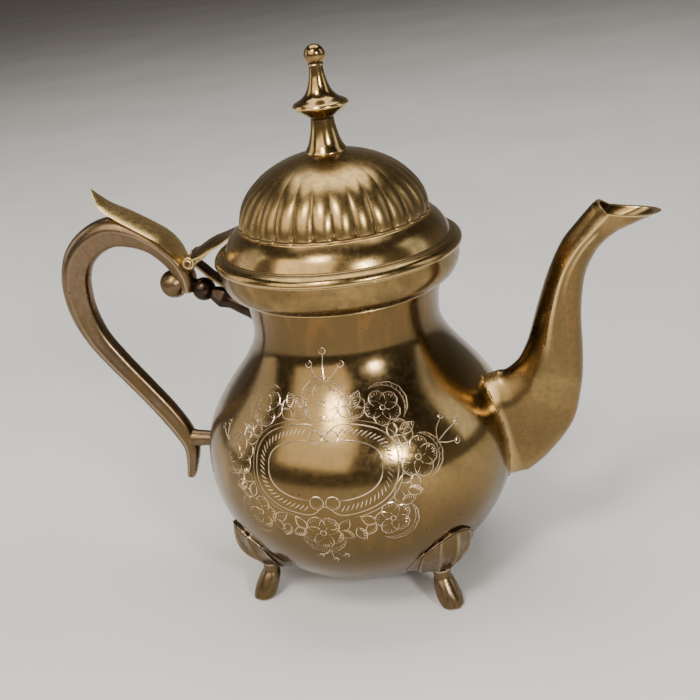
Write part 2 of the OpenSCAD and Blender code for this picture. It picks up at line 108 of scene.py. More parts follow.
class TeapotBody(PropertyGroup):
    belly_radius: length("Belly radius", BODY_HIGH.x, "Greatest radius of the round body")
    belly_height: length("Belly height", 57, "Height of the widest point above the table")
    bowl_depth: length("Bowl depth", 55.5, "Half height of the ellipse that the lower body follows")
    neck_radius: length("Neck radius", 37.6, "Outside radius of the neck's waist")
    neck_height: length("Neck height", 113, "Height of the neck's waist")
    collar_foot: length("Collar foot", COLLAR_LOW.z, "Height at which the collar grips the neck")
    neck_flare: length("Neck flare", 2.2, "How far the neck widens up to the collar")
    wall: length("Sheet", 1.2, "Thickness of the spun sheet")
    wobble: length("Wobble", 0.11, "Depth of the shallow waves left by spinning and wear")
    shoulder_bend: FloatProperty(name="Shoulder bend", default=1.27, min=1, max=2,
                                 description="Above 1 keeps the upper body full below the neck")


class TeapotEngraving(PropertyGroup):
    cut_width: length("Cut width", 0.66, "Width of a line cut by the graver")
    burr: length("Burr", 0.10, "How far the bright lip of a cut stands up")
    half_width: length("Half width", 28.5, "Half the width of the oval's outer line")
    half_height: length("Half height", 17.6, "Half the height of the oval's outer line")
    up: length("Height above belly", 17.5, "How far the oval's middle lies above the belly, along the skin")
    flower_radius: length("Flower radius", 7.2, "Radius of each engraved flower")


class TeapotLid(PropertyGroup):
    ridge_radius: length("Ridge radius", 45, "Radius of the fine raised line on the brim")
    shoulder_top: length("Shoulder top", DOME_LOW.z, "Height at which the dome stands on the shoulder")
    dome_radius: length("Dome radius", DOME_HIGH.x, "Radius of the dome at its foot")
    flute_depth: length("Flute depth", 1.25, "Depth of the valleys between the flutes at the dome's foot")
    flutes: IntProperty(name="Flutes", default=29, min=8, max=60,
                        description="Number of flutes round the dome")


class TeapotHandle(PropertyGroup):
    half_depth: length("Half depth", 5.2, "Half the depth of the handle, front to back")
    lug_height: length("Lug height", (LUG_LOW.z + LUG_HIGH.z) / 2,
                       "Height of the lug at the handle's lower end")
    scroll_radius: length("Scroll radius", 6, "Radius of the scroll ball at the handle's head")
    leaf_half_width: length("Leaf half width", LEAF_HIGH.y, "Half the width of the thumb leaf")


class TeapotFeet(PropertyGroup):
    azimuth: FloatProperty(name="Azimuth", default=math.radians(41), subtype="ANGLE",
                           description="Angle of each foot from the line through spout and handle")
    ring_radius: length("Foot circle", 53, "Distance from the axis to the middle of each sole")
    sole_radius: length("Sole radius", 3.6, "Radius of each sole")
    shell_half_width: length("Shell half width", 15, "Half the width of the scalloped shell")
    shell_top: length("Shell top", 38, "Height of the shell's upper edge")
    rib_height: length("Rib height", 2.1, "How far the ribs stand above the hollows between them")
    ribs: IntProperty(name="Ribs", default=6, min=3, max=12, description="Hollows across each shell")


class TeapotBrass(PropertyGroup):
    clean: colour("Clean brass", (0.335, 0.225, 0.088), "Polished brass")
    # On the body this film colour also paints shade for dark reflections, low on the belly and round the
    # shoulder and neck.
    tarnish: colour("Tarnish", (0.130, 0.088, 0.037), "Brown film on old brass")
    amber: colour("Amber film", (0.34, 0.165, 0.05), "Orange film where brass was heated or rubbed less")
    copper: colour("Copper brown", (0.18, 0.125, 0.082), "Worn cast brass with a coppery skin")
    pale: colour("Pale brass", (0.46, 0.36, 0.24), "Satin high points of the cast parts")
    rubbed: colour("Rubbed brass", (0.72, 0.52, 0.22), "Cast brass that the thumb keeps bright")
    # Bright brass also paints the highlight along the spout's sharp side edges.
    bright: colour("Bright brass", (0.70, 0.50, 0.23), "Edges and places rubbed bright")
    # Soot also paints the shadow along one face of each engraved cut.
    soot_and_shade: colour("Soot", (0.028, 0.018, 0.012), "Dirt in grooves, pits and burnt places")
    burnt: colour("Burnt brass", (0.075, 0.05, 0.038), "Brass blackened by heat")
    cut: colour("Cut line", (0.95, 0.74, 0.52), "Fresh metal in the engraved lines")


class TeapotStudio(PropertyGroup):
    distance: length("Camera distance", 469.88, "From the camera to the point it turns about")
    target_height: length("Target height", 97.34, "Height of the point that the camera turns about")
    target_x: length("Target shift", -0.31, "Sideways shift of that point along X")
    azimuth: FloatProperty(name="Azimuth", default=math.radians(16.97), subtype="ANGLE",
                           description="How far the camera stands round towards the spout")
    elevation: FloatProperty(name="Elevation", default=math.radians(21.59), subtype="ANGLE",
                             description="How far the camera looks down")
    roll: FloatProperty(name="Roll", default=math.radians(7.04), subtype="ANGLE",
                        description="How far the camera is tipped to one side")
    lens: FloatProperty(name="Lens", default=59.14, min=10, max=200,
                        description="Focal length on a 36 mm sensor")


# ---------- curves ----------

def spline(points, steps):
    """Smooth curve through points of any dimension, with a number of steps to each span."""
    p = np.array(points, float)
    out = []
    for i in range(len(p) - 1):
        a, b, c, d = p[max(i - 1, 0)], p[i], p[i + 1], p[min(i + 2, len(p) - 1)]
        for t in np.arange(steps) / steps:
            out.append(0.5 * (2 * b + (c - a) * t + (2 * a - 5 * b + 4 * c - d) * t ** 2
                              + (3 * b - a - 3 * c + d) * t ** 3))
    return np.array(out + [p[-1]])


def resample(line, step):
    """The same line with points a near-even step apart, both ends kept."""
    line = np.asarray(line, float)
    along = np.concatenate([[0], np.cumsum(np.linalg.norm(np.diff(line, axis=0), axis=1))])
    count = max(2, int(round(along[-1] / step)) + 1)
    at = np.linspace(0, along[-1], count)
    return np.stack([np.interp(at, along, line[:, k]) for k in range(line.shape[1])], axis=1)


def directions(line):
    """Unit direction of travel at each point of a line."""
    ahead = np.vstack([line[1:], line[-1:]])
    behind = np.vstack([line[:1], line[:-1]])
    step = ahead - behind
    return step / np.maximum(np.linalg.norm(step, axis=1, keepdims=True), 1e-9)


def shifted(line, distance):
    """A flat line moved sideways, to the left of its direction of travel."""
    line = np.asarray(line, float)
    go = directions(line)
    return line + distance * np.stack([-go[:, 1], go[:, 0]], axis=1)


SAME_POINT = 1e-6        # points nearer than this, in millimetres, count as one


def filleted(outline, radius, steps=4, sharpest=25):
    """A closed outline whose corners of more than sharpest degrees are rounded.

    radius limits how far from a corner the curve starts. Points that repeat the one before are dropped."""
    outline = [np.array(p, float) for p in outline]
    outline = [p for i, p in enumerate(outline) if np.linalg.norm(p - outline[i - 1]) > SAME_POINT]
    out = []
    for i, corner in enumerate(outline):
        before, after = outline[i - 1] - corner, outline[(i + 1) % len(outline)] - corner
        near, far = np.linalg.norm(before), np.linalg.norm(after)
        turn = math.degrees(math.acos(np.clip(-before @ after / max(near * far, 1e-9), -1, 1)))
        if turn < sharpest:
            out.append(corner)
            continue
        reach = min(radius, 0.45 * near, 0.45 * far)
        start, end = corner + before / near * reach, corner + after / far * reach
        for t in np.linspace(0, 1, steps + 1):
            out.append((1 - t) ** 2 * start + 2 * t * (1 - t) * corner + t ** 2 * end)
    return np.array(out)


def smoothstep(value, low, high):
    t = np.clip((value - low) / (high - low), 0, 1)
    return t * t * (3 - 2 * t)


# ---------- meshes ----------

def grid(rows, columns, wrap_rows=False):
    """Quads between points numbered row by row. Each row closes on itself, and so do the rows if asked."""
    i = np.arange(rows if wrap_rows else rows - 1)[:, None]
    j = np.arange(columns)[None, :]
    i2, j2 = (i + 1) % rows, (j + 1) % columns
    quads = np.stack([i * columns + j, i * columns + j2, i2 * columns + j2, i2 * columns + j], axis=-1)
    return quads.reshape(-1, 4).tolist()


class Sketch:
    """Points and faces of a piece, gathered from several closed forms."""

    def __init__(self):
        self.points, self.faces, self.count = [], [], 0

    def add(self, points, faces):
        points = np.asarray(points, float).reshape(-1, 3)
        self.points.append(points)
        self.faces += [[v + self.count for v in f] for f in faces]
        self.count += len(points)
        return self

    def loft(self, rings):
        """A closed skin over rings of equal size, with a fan of faces on each end."""
        rings = np.asarray(rings, float)
        rows, columns = rings.shape[:2]
        ends = [rings[0].mean(0), rings[-1].mean(0)]
        points = np.vstack([rings.reshape(-1, 3), ends])
        last = (rows - 1) * columns
        caps = [[rows * columns, (j + 1) % columns, j] for j in range(columns)]
        caps += [[rows * columns + 1, last + j, last + (j + 1) % columns] for j in range(columns)]
        return self.add(points, grid(rows, columns) + caps)

    def pipe(self, outer, inner):
        """A tube with a wall, between outer and inner rings, open at both ends."""
        outer, inner = np.asarray(outer, float), np.asarray(inner, float)
        rows, columns = outer.shape[:2]
        loop = np.concatenate([outer, inner[::-1]])
        return self.add(loop, grid(2 * rows, columns, wrap_rows=True))

    def hoop(self, line, radii, turns=10):
        """A closed ring of wire along a closed line, with a radius for each point."""
        line = np.asarray(line, float)
        go = np.roll(line, -1, axis=0) - np.roll(line, 1, axis=0)
        go /= np.linalg.norm(go, axis=1, keepdims=True)
        out = line - line.mean(0)
        side = np.cross(go, out)
        side /= np.linalg.norm(side, axis=1, keepdims=True)
        other = np.cross(side, go)
        turn = np.linspace(0, 2 * math.pi, turns, endpoint=False)[None, :, None]
        rings = line[:, None] + np.asarray(radii)[:, None, None] * (np.cos(turn) * side[:, None]
                                                                   + np.sin(turn) * other[:, None])
        return self.add(rings, grid(len(line), turns, wrap_rows=True))

    def turned(self, outline, turns, shape=None):
        """A closed outline of [radius, height] turned about Z. shape(azimuth, radius, height) may move it."""
        outline = np.asarray(outline, float)
        azimuth = np.linspace(0, 2 * math.pi, turns, endpoint=False)[:, None]
        radius = np.repeat(outline[None, :, 0], turns, axis=0)
        height = np.repeat(outline[None, :, 1], turns, axis=0)
        if shape:
            radius, height = shape(azimuth + 0 * radius, radius, height)
        points = np.stack([radius * np.cos(azimuth), radius * np.sin(azimuth), height], axis=-1)
        return self.add(points, grid(turns, outline.shape[0], wrap_rows=True))

    def ball(self, centre, radius, turns=32, shape=None):
        """A round knob. shape(points) may move its points, given about the centre."""
        tilt = np.linspace(-math.pi / 2, math.pi / 2, turns // 2 + 1)[1:-1, None]
        turn = np.linspace(0, 2 * math.pi, turns, endpoint=False)[None, :]
        about = radius * np.stack([np.cos(tilt) * np.cos(turn), np.cos(tilt) * np.sin(turn),
                                   np.sin(tilt) + 0 * turn], axis=-1)
        if shape:
            about = shape(about)
        return self.loft(about + np.asarray(centre, float))


MERGE = 0.002            # points nearer than this, in millimetres, become one
MASK_START = 0.35        # a mask begins at this share of the bend at which it is full


def relief_masks(mesh, edge_radius, groove_radius):
    """Writes two masks: wear on convex edges sharper than edge_radius, grime in grooves, in millimetres."""
    count = len(mesh.vertices)
    place, normal = np.zeros(count * 3), np.zeros(count * 3)
    mesh.vertices.foreach_get("co", place)
    mesh.vertices.foreach_get("normal", normal)
    place, normal = place.reshape(-1, 3) / MM, normal.reshape(-1, 3)
    pairs = np.zeros(len(mesh.edges) * 2, int)
    mesh.edges.foreach_get("vertices", pairs)
    a, b = pairs.reshape(-1, 2).T
    step = place[b] - place[a]
    squared = np.maximum((step ** 2).sum(1), 1e-4)
    bend = ((normal[b] - normal[a]) * step).sum(1) / squared
    most = np.full(count, -1e3)
    least = np.full(count, 1e3)
    for end in (a, b):
        np.maximum.at(most, end, bend)
        np.minimum.at(least, end, bend)
    wear = smoothstep(most, MASK_START / edge_radius, 1 / edge_radius)
    grime_and_shade = smoothstep(-least, MASK_START / groove_radius, 1 / groove_radius)
    for name, values in (("wear", wear), ("grime_and_shade", grime_and_shade)):
        mesh.attributes.new(name, "FLOAT", "POINT").data.foreach_set("value", values.astype(np.float32))


def finish_piece(name, sketch, material, body="pot", replaces=(), sharp=38, edge=1.2, groove=1.5,
                 shade=None):
    """Makes the sketch a mesh object, with smooth faces, sharp creases, masks and its place in the frame.

    Edges that bend by more than sharp degrees stay crisp. edge and groove are the radii in millimetres below
    which an edge counts as worn and a groove as dirty; the worn edges take a bright colour, which on the
    spout's creases is also a painted highlight. shade, one value for each point, is painted shade that takes
    the place of the groove mask in the same attribute, and then no points are merged."""
    mesh = bpy.data.meshes.new(name)
    points = np.vstack(sketch.points) * MM
    mesh.from_pydata(points.tolist(), [], sketch.faces)
    work = bmesh.new()
    work.from_mesh(mesh)
    if shade is None:
        bmesh.ops.remove_doubles(work, verts=work.verts, dist=MERGE * MM)
    bmesh.ops.recalc_face_normals(work, faces=work.faces)
    work.to_mesh(mesh)
    work.free()
    mesh.polygons.foreach_set("use_smooth", np.ones(len(mesh.polygons), bool))
    mesh.set_sharp_from_angle(angle=math.radians(sharp))
    relief_masks(mesh, edge, groove)
    # On the engraving, the painted shadow of each cut replaces the groove mask in the same attribute.
    if shade is not None:
        mesh.attributes["grime_and_shade"].data.foreach_set("value", np.array(shade, np.float32))
    mesh.materials.append(material)
    piece = bpy.data.objects.new(name, mesh)
    bpy.context.scene.collection.objects.link(piece)
    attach(piece, body)
    if replaces:
        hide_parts(*replaces)
    return piece


# ---------- node groups and materials ----------

class Nodes:
    """Adds nodes to a tree in few words. An input given as a socket is linked, anything else is set."""

    def __init__(self, tree):
        self.tree = tree

    def add(self, kind, inputs=None, **settings):
        node = self.tree.nodes.new(kind)
        for key, value in settings.items():
            setattr(node, key, value)
        for key, value in (inputs or {}).items():
            if isinstance(value, bpy.types.NodeSocket):
                self.tree.links.new(value, node.inputs[key])
            else:
                node.inputs[key].default_value = value
        return node

    def math(self, operation, a, b=0.0, clamp=False):
        return self.add("ShaderNodeMath", {0: a, 1: b}, operation=operation, use_clamp=clamp).outputs[0]

    def mix(self, factor, a, b):
        return self.add("ShaderNodeMix", {0: factor, 6: a, 7: b}, data_type="RGBA").outputs[2]

    def remap(self, value, low, high):
        """0 at low, 1 at high, with soft ends."""
        ends = {"Value": value, "From Min": low, "From Max": high, "To Min": 0.0, "To Max": 1.0}
        return self.add("ShaderNodeMapRange", ends, interpolation_type="SMOOTHSTEP").outputs[0]

    def noise(self, place, scale, detail=3.0, distortion=0.0):
        ends = {"Vector": place, "Scale": scale, "Detail": detail, "Distortion": distortion}
        return self.add("ShaderNodeTexNoise", ends).outputs["Fac"]

    def place(self, stretch=(1, 1, 1)):
        """Where a point lies in the frame, in metres, each axis times its stretch."""
        here = self.add("ShaderNodeTexCoord").outputs["Object"]
        return self.add("ShaderNodeVectorMath", {0: here, 1: stretch}, operation="MULTIPLY").outputs[0]

    def height(self):
        """Height of a point above the table, in metres."""
        return self.add("ShaderNodeSeparateXYZ", {0: self.place()}).outputs[2]

    def mask(self, name):
        return self.add("ShaderNodeAttribute", attribute_name=name).outputs["Fac"]


def new_group(name, inputs, outputs):
    """An empty shader group with float inputs {name: default} and float outputs."""
    group = bpy.data.node_groups.new(name, "ShaderNodeTree")
    for label, value in inputs.items():
        socket = group.interface.new_socket(label, in_out="INPUT", socket_type="NodeSocketFloat")
        socket.default_value = value
    for label in outputs:
        group.interface.new_socket(label, in_out="OUTPUT", socket_type="NodeSocketFloat")
    nodes = Nodes(group)
    return group, nodes, nodes.add("NodeGroupInput").outputs, nodes.add("NodeGroupOutput").inputs


def put(nodes, socket, target):
    nodes.tree.links.new(socket, target)


def tarnish_group():
    """Soft patches, fine mottling and upright streaks."""
    group, n, given, out = new_group(
        "Tarnish", {"Patch scale": 28, "Cover": 0.5}, ["Patches", "Mottle", "Streaks"])
    wide = n.noise(n.place(), given["Patch scale"], 5.0, 0.7)
    edge = n.math("SUBTRACT", 1.0, given["Cover"])
    low, high = n.math("SUBTRACT", edge, 0.16), n.math("ADD", edge, 0.14)
    put(n, n.remap(wide, low, high), out["Patches"])
    put(n, n.remap(n.noise(n.place(), 420.0, 4.0, 0.2), 0.36, 0.66), out["Mottle"])
    put(n, n.remap(n.noise(n.place((1, 1, 0.13)), 190.0, 3.0, 0.4), 0.46, 0.7), out["Streaks"])
    return group


def pit_group():
    """Small dark corrosion pits, in clusters."""
    group, n, given, out = new_group("Pits", {"Spacing": 260, "Share": 0.35}, ["Pits"])
    cells = n.add("ShaderNodeTexVoronoi", {"Vector": n.place(), "Scale": given["Spacing"]})
    pick = n.add("ShaderNodeSeparateColor", {0: cells.outputs["Color"]})
    size = n.math("MULTIPLY", n.math("POWER", pick.outputs[1], 3.0), 0.14)
    spot = n.remap(cells.outputs["Distance"], n.math("ADD", size, 0.085), n.math("ADD", size, 0.02))
    cluster = n.remap(n.noise(n.place(), 55.0, 2.0), 0.42, 0.62)
    chosen = n.math("LESS_THAN", pick.outputs[0], n.math("MULTIPLY", given["Share"], cluster))
    put(n, n.math("MULTIPLY", spot, chosen), out["Pits"])
    return group


def polish_group():
    """Fine rings left by the spinning lathe and the marks of later polishing."""
    group, n, given, out = new_group("Polish marks", {"Ring scale": 900}, ["Rings", "Scuffs"])
    rings = n.noise(n.place((0.02, 0.02, 1)), given["Ring scale"], 3.0)
    put(n, rings, out["Rings"])
    slanted = n.add("ShaderNodeVectorRotate", {"Vector": n.place(), "Angle": 0.5, "Axis": (0.3, 1, 0.2)})
    thin = n.add("ShaderNodeVectorMath", {0: slanted.outputs[0], 1: (0.08, 0.08, 1)}, operation="MULTIPLY")
    put(n, n.noise(thin.outputs[0], 5200.0, 3.0), out["Scuffs"])
    return group


GROUPS = {}


def group_node(nodes, name, **values):
    """Places a shared node group in a material, building it the first time."""
    makers = {"Tarnish": tarnish_group, "Pits": pit_group, "Polish marks": polish_group}
    if name not in GROUPS:
        GROUPS[name] = makers[name]()
    node = nodes.add("ShaderNodeGroup", node_tree=GROUPS[name])
    for label, value in values.items():
        node.inputs[label.replace("_", " ")].default_value = value
    return node.outputs


def rgba(rgb):
    return (*rgb, 1.0)


FILM_SHARE = 0.8         # how much of the base colour a full patch of film hides
AMBER_SHARE = 0.3        # the same for the amber film over the warm heights
AMBER_FLOOR = 0.35       # part of the amber that lies between the streaks too
PATCH_ROUGH = 0.07       # added roughness of the patches, the mottling, the scuffs and the dirt
MOTTLE_ROUGH = 0.06
SCUFF_ROUGH = 0.035
DIRT_ROUGH = 0.35
SCUFF_DEPTH = 0.0012     # depth in millimetres
PIT_DEPTH = 0.05
GRAIN_SCALE = 900.0      # lumps of a cast surface, in waves per metre


def brass(name, base, film, rough=0.16, cover=0.5, patch_scale=28, streaks=0.0, pits=0.3, pit_spacing=260,
          mottle=0.25, wear=0.8, grime_and_shade=0.9, rings=0.0, grain=0.0, bright=None, warm=None, painted_shade_heights=()):
    """Old brass: base metal under a film, with mottling, streaks, pits, worn edges (on the spout's creases
    also a painted highlight), dirt in the grooves, and painted shade where a piece gives it.

    cover is the share of the surface under the film. rings and grain are depths in millimetres.
    warm is (low, high) in metres: the surface turns amber on the way up between these heights.
    The last argument lists pairs of heights in metres: on the way from the first to the second the colour
    turns to the film colour, as painted shade for dark reflections."""
    look = bpy.context.scene.teapot_brass
    material = bpy.data.materials.new(name)
    material.use_nodes = True
    n = Nodes(material.node_tree)
    shader = material.node_tree.nodes["Principled BSDF"]
    tarnish = group_node(n, "Tarnish", Patch_scale=patch_scale, Cover=cover)
    spots = group_node(n, "Pits", Spacing=pit_spacing, Share=pits)["Pits"]
    marks = group_node(n, "Polish marks")
    colour_now = n.mix(n.math("MULTIPLY", tarnish["Patches"], FILM_SHARE), rgba(base), rgba(film))
    # Painted shade: between each listed pair of heights the colour turns to the film colour, for dark
    # reflections.
    for start, end in painted_shade_heights:
        colour_now = n.mix(n.remap(n.height(), start, end), colour_now, rgba(film))
    if streaks:
        colour_now = n.mix(n.math("MULTIPLY", tarnish["Streaks"], streaks), colour_now, rgba(look.amber))
    if warm:
        rise = n.remap(n.height(), *warm)
        patchy = n.math("MULTIPLY", rise, n.math("ADD", tarnish["Streaks"], AMBER_FLOOR, clamp=True))
        colour_now = n.mix(n.math("MULTIPLY", patchy, AMBER_SHARE), colour_now, rgba(look.amber))
    colour_now = n.mix(n.math("MULTIPLY", tarnish["Mottle"], mottle), colour_now, rgba(film))
    # Convex edges turn bright: rubbed brass, and on the spout's sharp side edges also a painted highlight.
    worn_and_highlight = n.math("MULTIPLY", n.mask("wear"), wear)
    colour_now = n.mix(worn_and_highlight, colour_now, rgba(bright or look.bright))
    # Dark mask: dirt in grooves and pits, and on the engraving a painted shadow along one face of each cut;
    # it turns the colour to soot.
    dirt_and_shade = n.math("MULTIPLY", n.mask("grime_and_shade"), grime_and_shade)
    dirt_and_shade = n.math("MAXIMUM", dirt_and_shade, spots)
    colour_now = n.mix(dirt_and_shade, colour_now, rgba(look.soot_and_shade))
    n.tree.links.new(colour_now, shader.inputs["Base Color"])
    shader.inputs["Metallic"].default_value = 1.0
    scuffed = n.remap(marks["Scuffs"], 0.45, 0.7)
    roughness = n.math("ADD", n.math("MULTIPLY", tarnish["Patches"], PATCH_ROUGH), rough)
    roughness = n.math("ADD", roughness, n.math("MULTIPLY", tarnish["Mottle"], MOTTLE_ROUGH))
    roughness = n.math("ADD", roughness, n.math("MULTIPLY", scuffed, SCUFF_ROUGH))
    roughness = n.math("ADD", roughness, n.math("MULTIPLY", dirt_and_shade, DIRT_ROUGH), clamp=True)
    n.tree.links.new(roughness, shader.inputs["Roughness"])
    height = n.math("MULTIPLY", marks["Scuffs"], SCUFF_DEPTH)
    height = n.math("SUBTRACT", height, n.math("MULTIPLY", spots, PIT_DEPTH))
    if rings:
        height = n.math("ADD", height, n.math("MULTIPLY", marks["Rings"], rings))
    if grain:
        lumps = n.noise(n.place(), GRAIN_SCALE, 4.0)
        height = n.math("ADD", height, n.math("MULTIPLY", lumps, grain))
    bump = n.add("ShaderNodeBump", {"Strength": 1.0, "Distance": MM, "Height": height})
    n.tree.links.new(bump.outputs["Normal"], shader.inputs["Normal"])
    return material


# ---------- stage ----------

def area_light(name, place, size, power, aim, tint=(1, 1, 1)):
    lamp = bpy.data.lights.new(name, "AREA")
    lamp.shape = "RECTANGLE"
    lamp.size, lamp.size_y = size
    lamp.energy = power
    lamp.color = tint
    item = bpy.data.objects.new(name, lamp)
    item.location = place
    item.rotation_euler = (Vector(aim) - Vector(place)).to_track_quat("-Z", "Y").to_euler()
    bpy.context.scene.collection.objects.link(item)
    return item


class TEAPOT_OT_stage(Operator):
    """Pale table, soft studio light and the camera"""
    bl_idname = "teapot.stage"
    bl_label = "Stage"

    def execute(self, context):
        self.camera(context)
        self.table(context)
        self.light(context)
        return {"FINISHED"}

    def camera(self, context):
        studio = context.scene.teapot_studio
        azimuth, elevation, roll = studio.azimuth, studio.elevation, studio.roll
        back = Vector((math.sin(azimuth) * math.cos(elevation), -math.cos(azimuth) * math.cos(elevation),
                       math.sin(elevation)))
        right = Vector((math.cos(azimuth), math.sin(azimuth), 0))
        up = back.cross(right)
        tipped_right = math.cos(roll) * right - math.sin(roll) * up
        tipped_up = math.sin(roll) * right + math.cos(roll) * up
        data = bpy.data.cameras.new("camera")
        data.lens, data.sensor_width = studio.lens, 36
        data.clip_start, data.clip_end = 0.01, 50
        camera = bpy.data.objects.new("camera", data)
        turn = Matrix((tipped_right, tipped_up, back)).transposed().to_4x4()
        place = Vector((studio.target_x, 0, studio.target_height)) + studio.distance * back
        camera.matrix_world = Matrix.Translation(place) @ turn
        context.scene.collection.objects.link(camera)
        context.scene.camera = camera

    def table(self, context):
        """A broad round table top, finely divided near the middle, with a faintly uneven matt finish."""
        smallest, growth, turns = 0.05, 1.32, 64
        radii = [smallest * growth ** k for k in range(19)]
        points = [(r * math.cos(2 * math.pi * k / turns), r * math.sin(2 * math.pi * k / turns), 0)
                  for r in radii for k in range(turns)]
        faces = grid(len(radii), turns) + [list(range(turns))]
        mesh = bpy.data.meshes.new("table")
        mesh.from_pydata(points, [], faces)
        material = bpy.data.materials.new("pale_table")
        material.use_nodes = True
        n = Nodes(material.node_tree)
        shader = material.node_tree.nodes["Principled BSDF"]
        cloud = n.remap(n.noise(n.place(), 5.0, 3.0), 0.3, 0.7)
        shades = n.mix(cloud, (0.62, 0.62, 0.61, 1), (0.68, 0.68, 0.67, 1))
        n.tree.links.new(shades, shader.inputs["Base Color"])
        shader.inputs["Roughness"].default_value = 0.8
        mesh.materials.append(material)
        table = bpy.data.objects.new("table", mesh)
        context.scene.collection.objects.link(table)

    def light(self, context):
        """A dim warm room with a small window, a wide soft panel in front and fainter ones round it."""
        middle = (0, 0, 0.11)
        area_light("window", (0.83, -0.92, 0.69), (0.22, 0.22), 12, middle, (1, 0.98, 0.95))
        area_light("front_panel", (-0.55, -1.30, 1.05), (1.7, 1.0), 19, middle, (1, 0.90, 0.78))
        area_light("ceiling_lamp", (-0.15, -0.85, 1.25), (0.30, 0.30), 12, middle, (1, 0.95, 0.88))
        area_light("overhead", (-0.1, 0.4, 1.6), (1.5, 1.0), 20, middle, (1, 0.97, 0.93))
        area_light("left_panel", (-1.35, 0.0, 0.60), (0.6, 1.0), 3.5, middle, (1, 0.95, 0.88))
        area_light("right_panel", (1.35, 0.35, 0.75), (0.5, 1.0), 3, middle, (0.93, 0.97, 1))
        world = bpy.data.worlds.new("room")
        world.use_nodes = True
        n = Nodes(world.node_tree)
        up = n.add("ShaderNodeSeparateXYZ", {0: n.add("ShaderNodeTexCoord").outputs["Generated"]}).outputs[2]
        shade = n.mix(n.remap(up, -0.05, 0.75), (0.46, 0.42, 0.36, 1), (0.10, 0.085, 0.07, 1))
        backdrop = world.node_tree.nodes["Background"]
        n.tree.links.new(shade, backdrop.inputs["Color"])
        backdrop.inputs["Strength"].default_value = 0.55
        context.scene.world = world


# ---------- body ----------

def body_radius(size, z):
    """Outside radius of the body at a height, in millimetres."""
    z = np.asarray(z, float)
    low = size.belly_radius * np.sqrt(np.maximum(0, 1 - ((size.belly_height - z) / size.bowl_depth) ** 2))
    share = np.clip((z - size.belly_height) / (size.neck_height - size.belly_height), 0, 1)
    bend = size.group.shoulder_bend
    inward = (1 + np.cos(math.pi * share ** bend)) / 2
    middle = size.neck_radius + (size.belly_radius - size.neck_radius) * inward
    flare = np.clip((z - size.neck_height) / (size.collar_foot - size.neck_height), 0, 1)
    top = size.neck_radius + size.neck_flare * flare ** 2
    return np.where(z < size.belly_height, low, np.where(z < size.neck_height, middle, top))


SKIN_INSIDE = 0.05        # how far the finished skin lies inside the drawn line, in millimetres


def body_skin(size, azimuth, z):
    """Radius of the finished skin: the drawn line, a hair inside it, with shallow waves.

    The waves die out at the foot of the body and under the collar."""
    waves = (np.sin(3 * azimuth + 0.07 * z) * np.cos(2 * azimuth - 0.045 * z + 1)
             + 0.5 * np.sin(7 * azimuth - 0.11 * z + 2) * np.sin(0.16 * z + 5 * azimuth))
    calm = smoothstep(z, 8, 20) * smoothstep(-z, -size.collar_foot + 1, -size.collar_foot + 12)
    return body_radius(size, z) - SKIN_INSIDE - size.wobble * (0.5 + waves / 3) * calm


class TEAPOT_OT_body(Operator):
    """Spun round body with its neck"""
    bl_idname = "teapot.body"
    bl_label = "Body"

    def execute(self, context):
        size = Millimetres(context.scene.teapot_body)
        low, high = BODY_LOW.z, BODY_HIGH.z
        heights = np.concatenate([low + 8 * np.linspace(0, 1, 30) ** 2, np.linspace(low + 8.2, high, 300)])
        line = resample(np.stack([body_radius(size, heights), heights], axis=1), 0.9)
        inner = resample(shifted(line, size.wall), 3)
        inner = inner[inner[:, 1] > low + size.wall + 0.5]
        lip = inner[0, 0] - 5
        outline = np.vstack([[[lip, low]], line, [[line[-1, 0] - size.wall, high]],
                             inner[::-1], [[inner[0, 0], low + size.wall], [lip, low + size.wall]]])
        outline = filleted(outline, 0.4, steps=2, sharpest=50)

        def waves(azimuth, radius, height):
            return radius + body_skin(size, azimuth, height) - body_radius(size, height), height

        look = context.scene.teapot_brass
        # The listed heights paint shade: darker from 70 mm down to 40 mm and from 84 mm up, for the dark
        # reflections low on the belly and round the shoulder and neck.
        material = brass("body_brass", look.clean, look.tarnish, rough=0.10, cover=0.55, patch_scale=22,
                         streaks=0.12, pits=0.3, pit_spacing=640, mottle=0.2, rings=0.003,
                         warm=(0.108, 0.124), painted_shade_heights=((0.070, 0.040), (0.084, 0.102)))
        finish_piece("body_shell", Sketch().turned(outline, 288, waves), material,
                     replaces=["body_shell"])
        return {"FINISHED"}


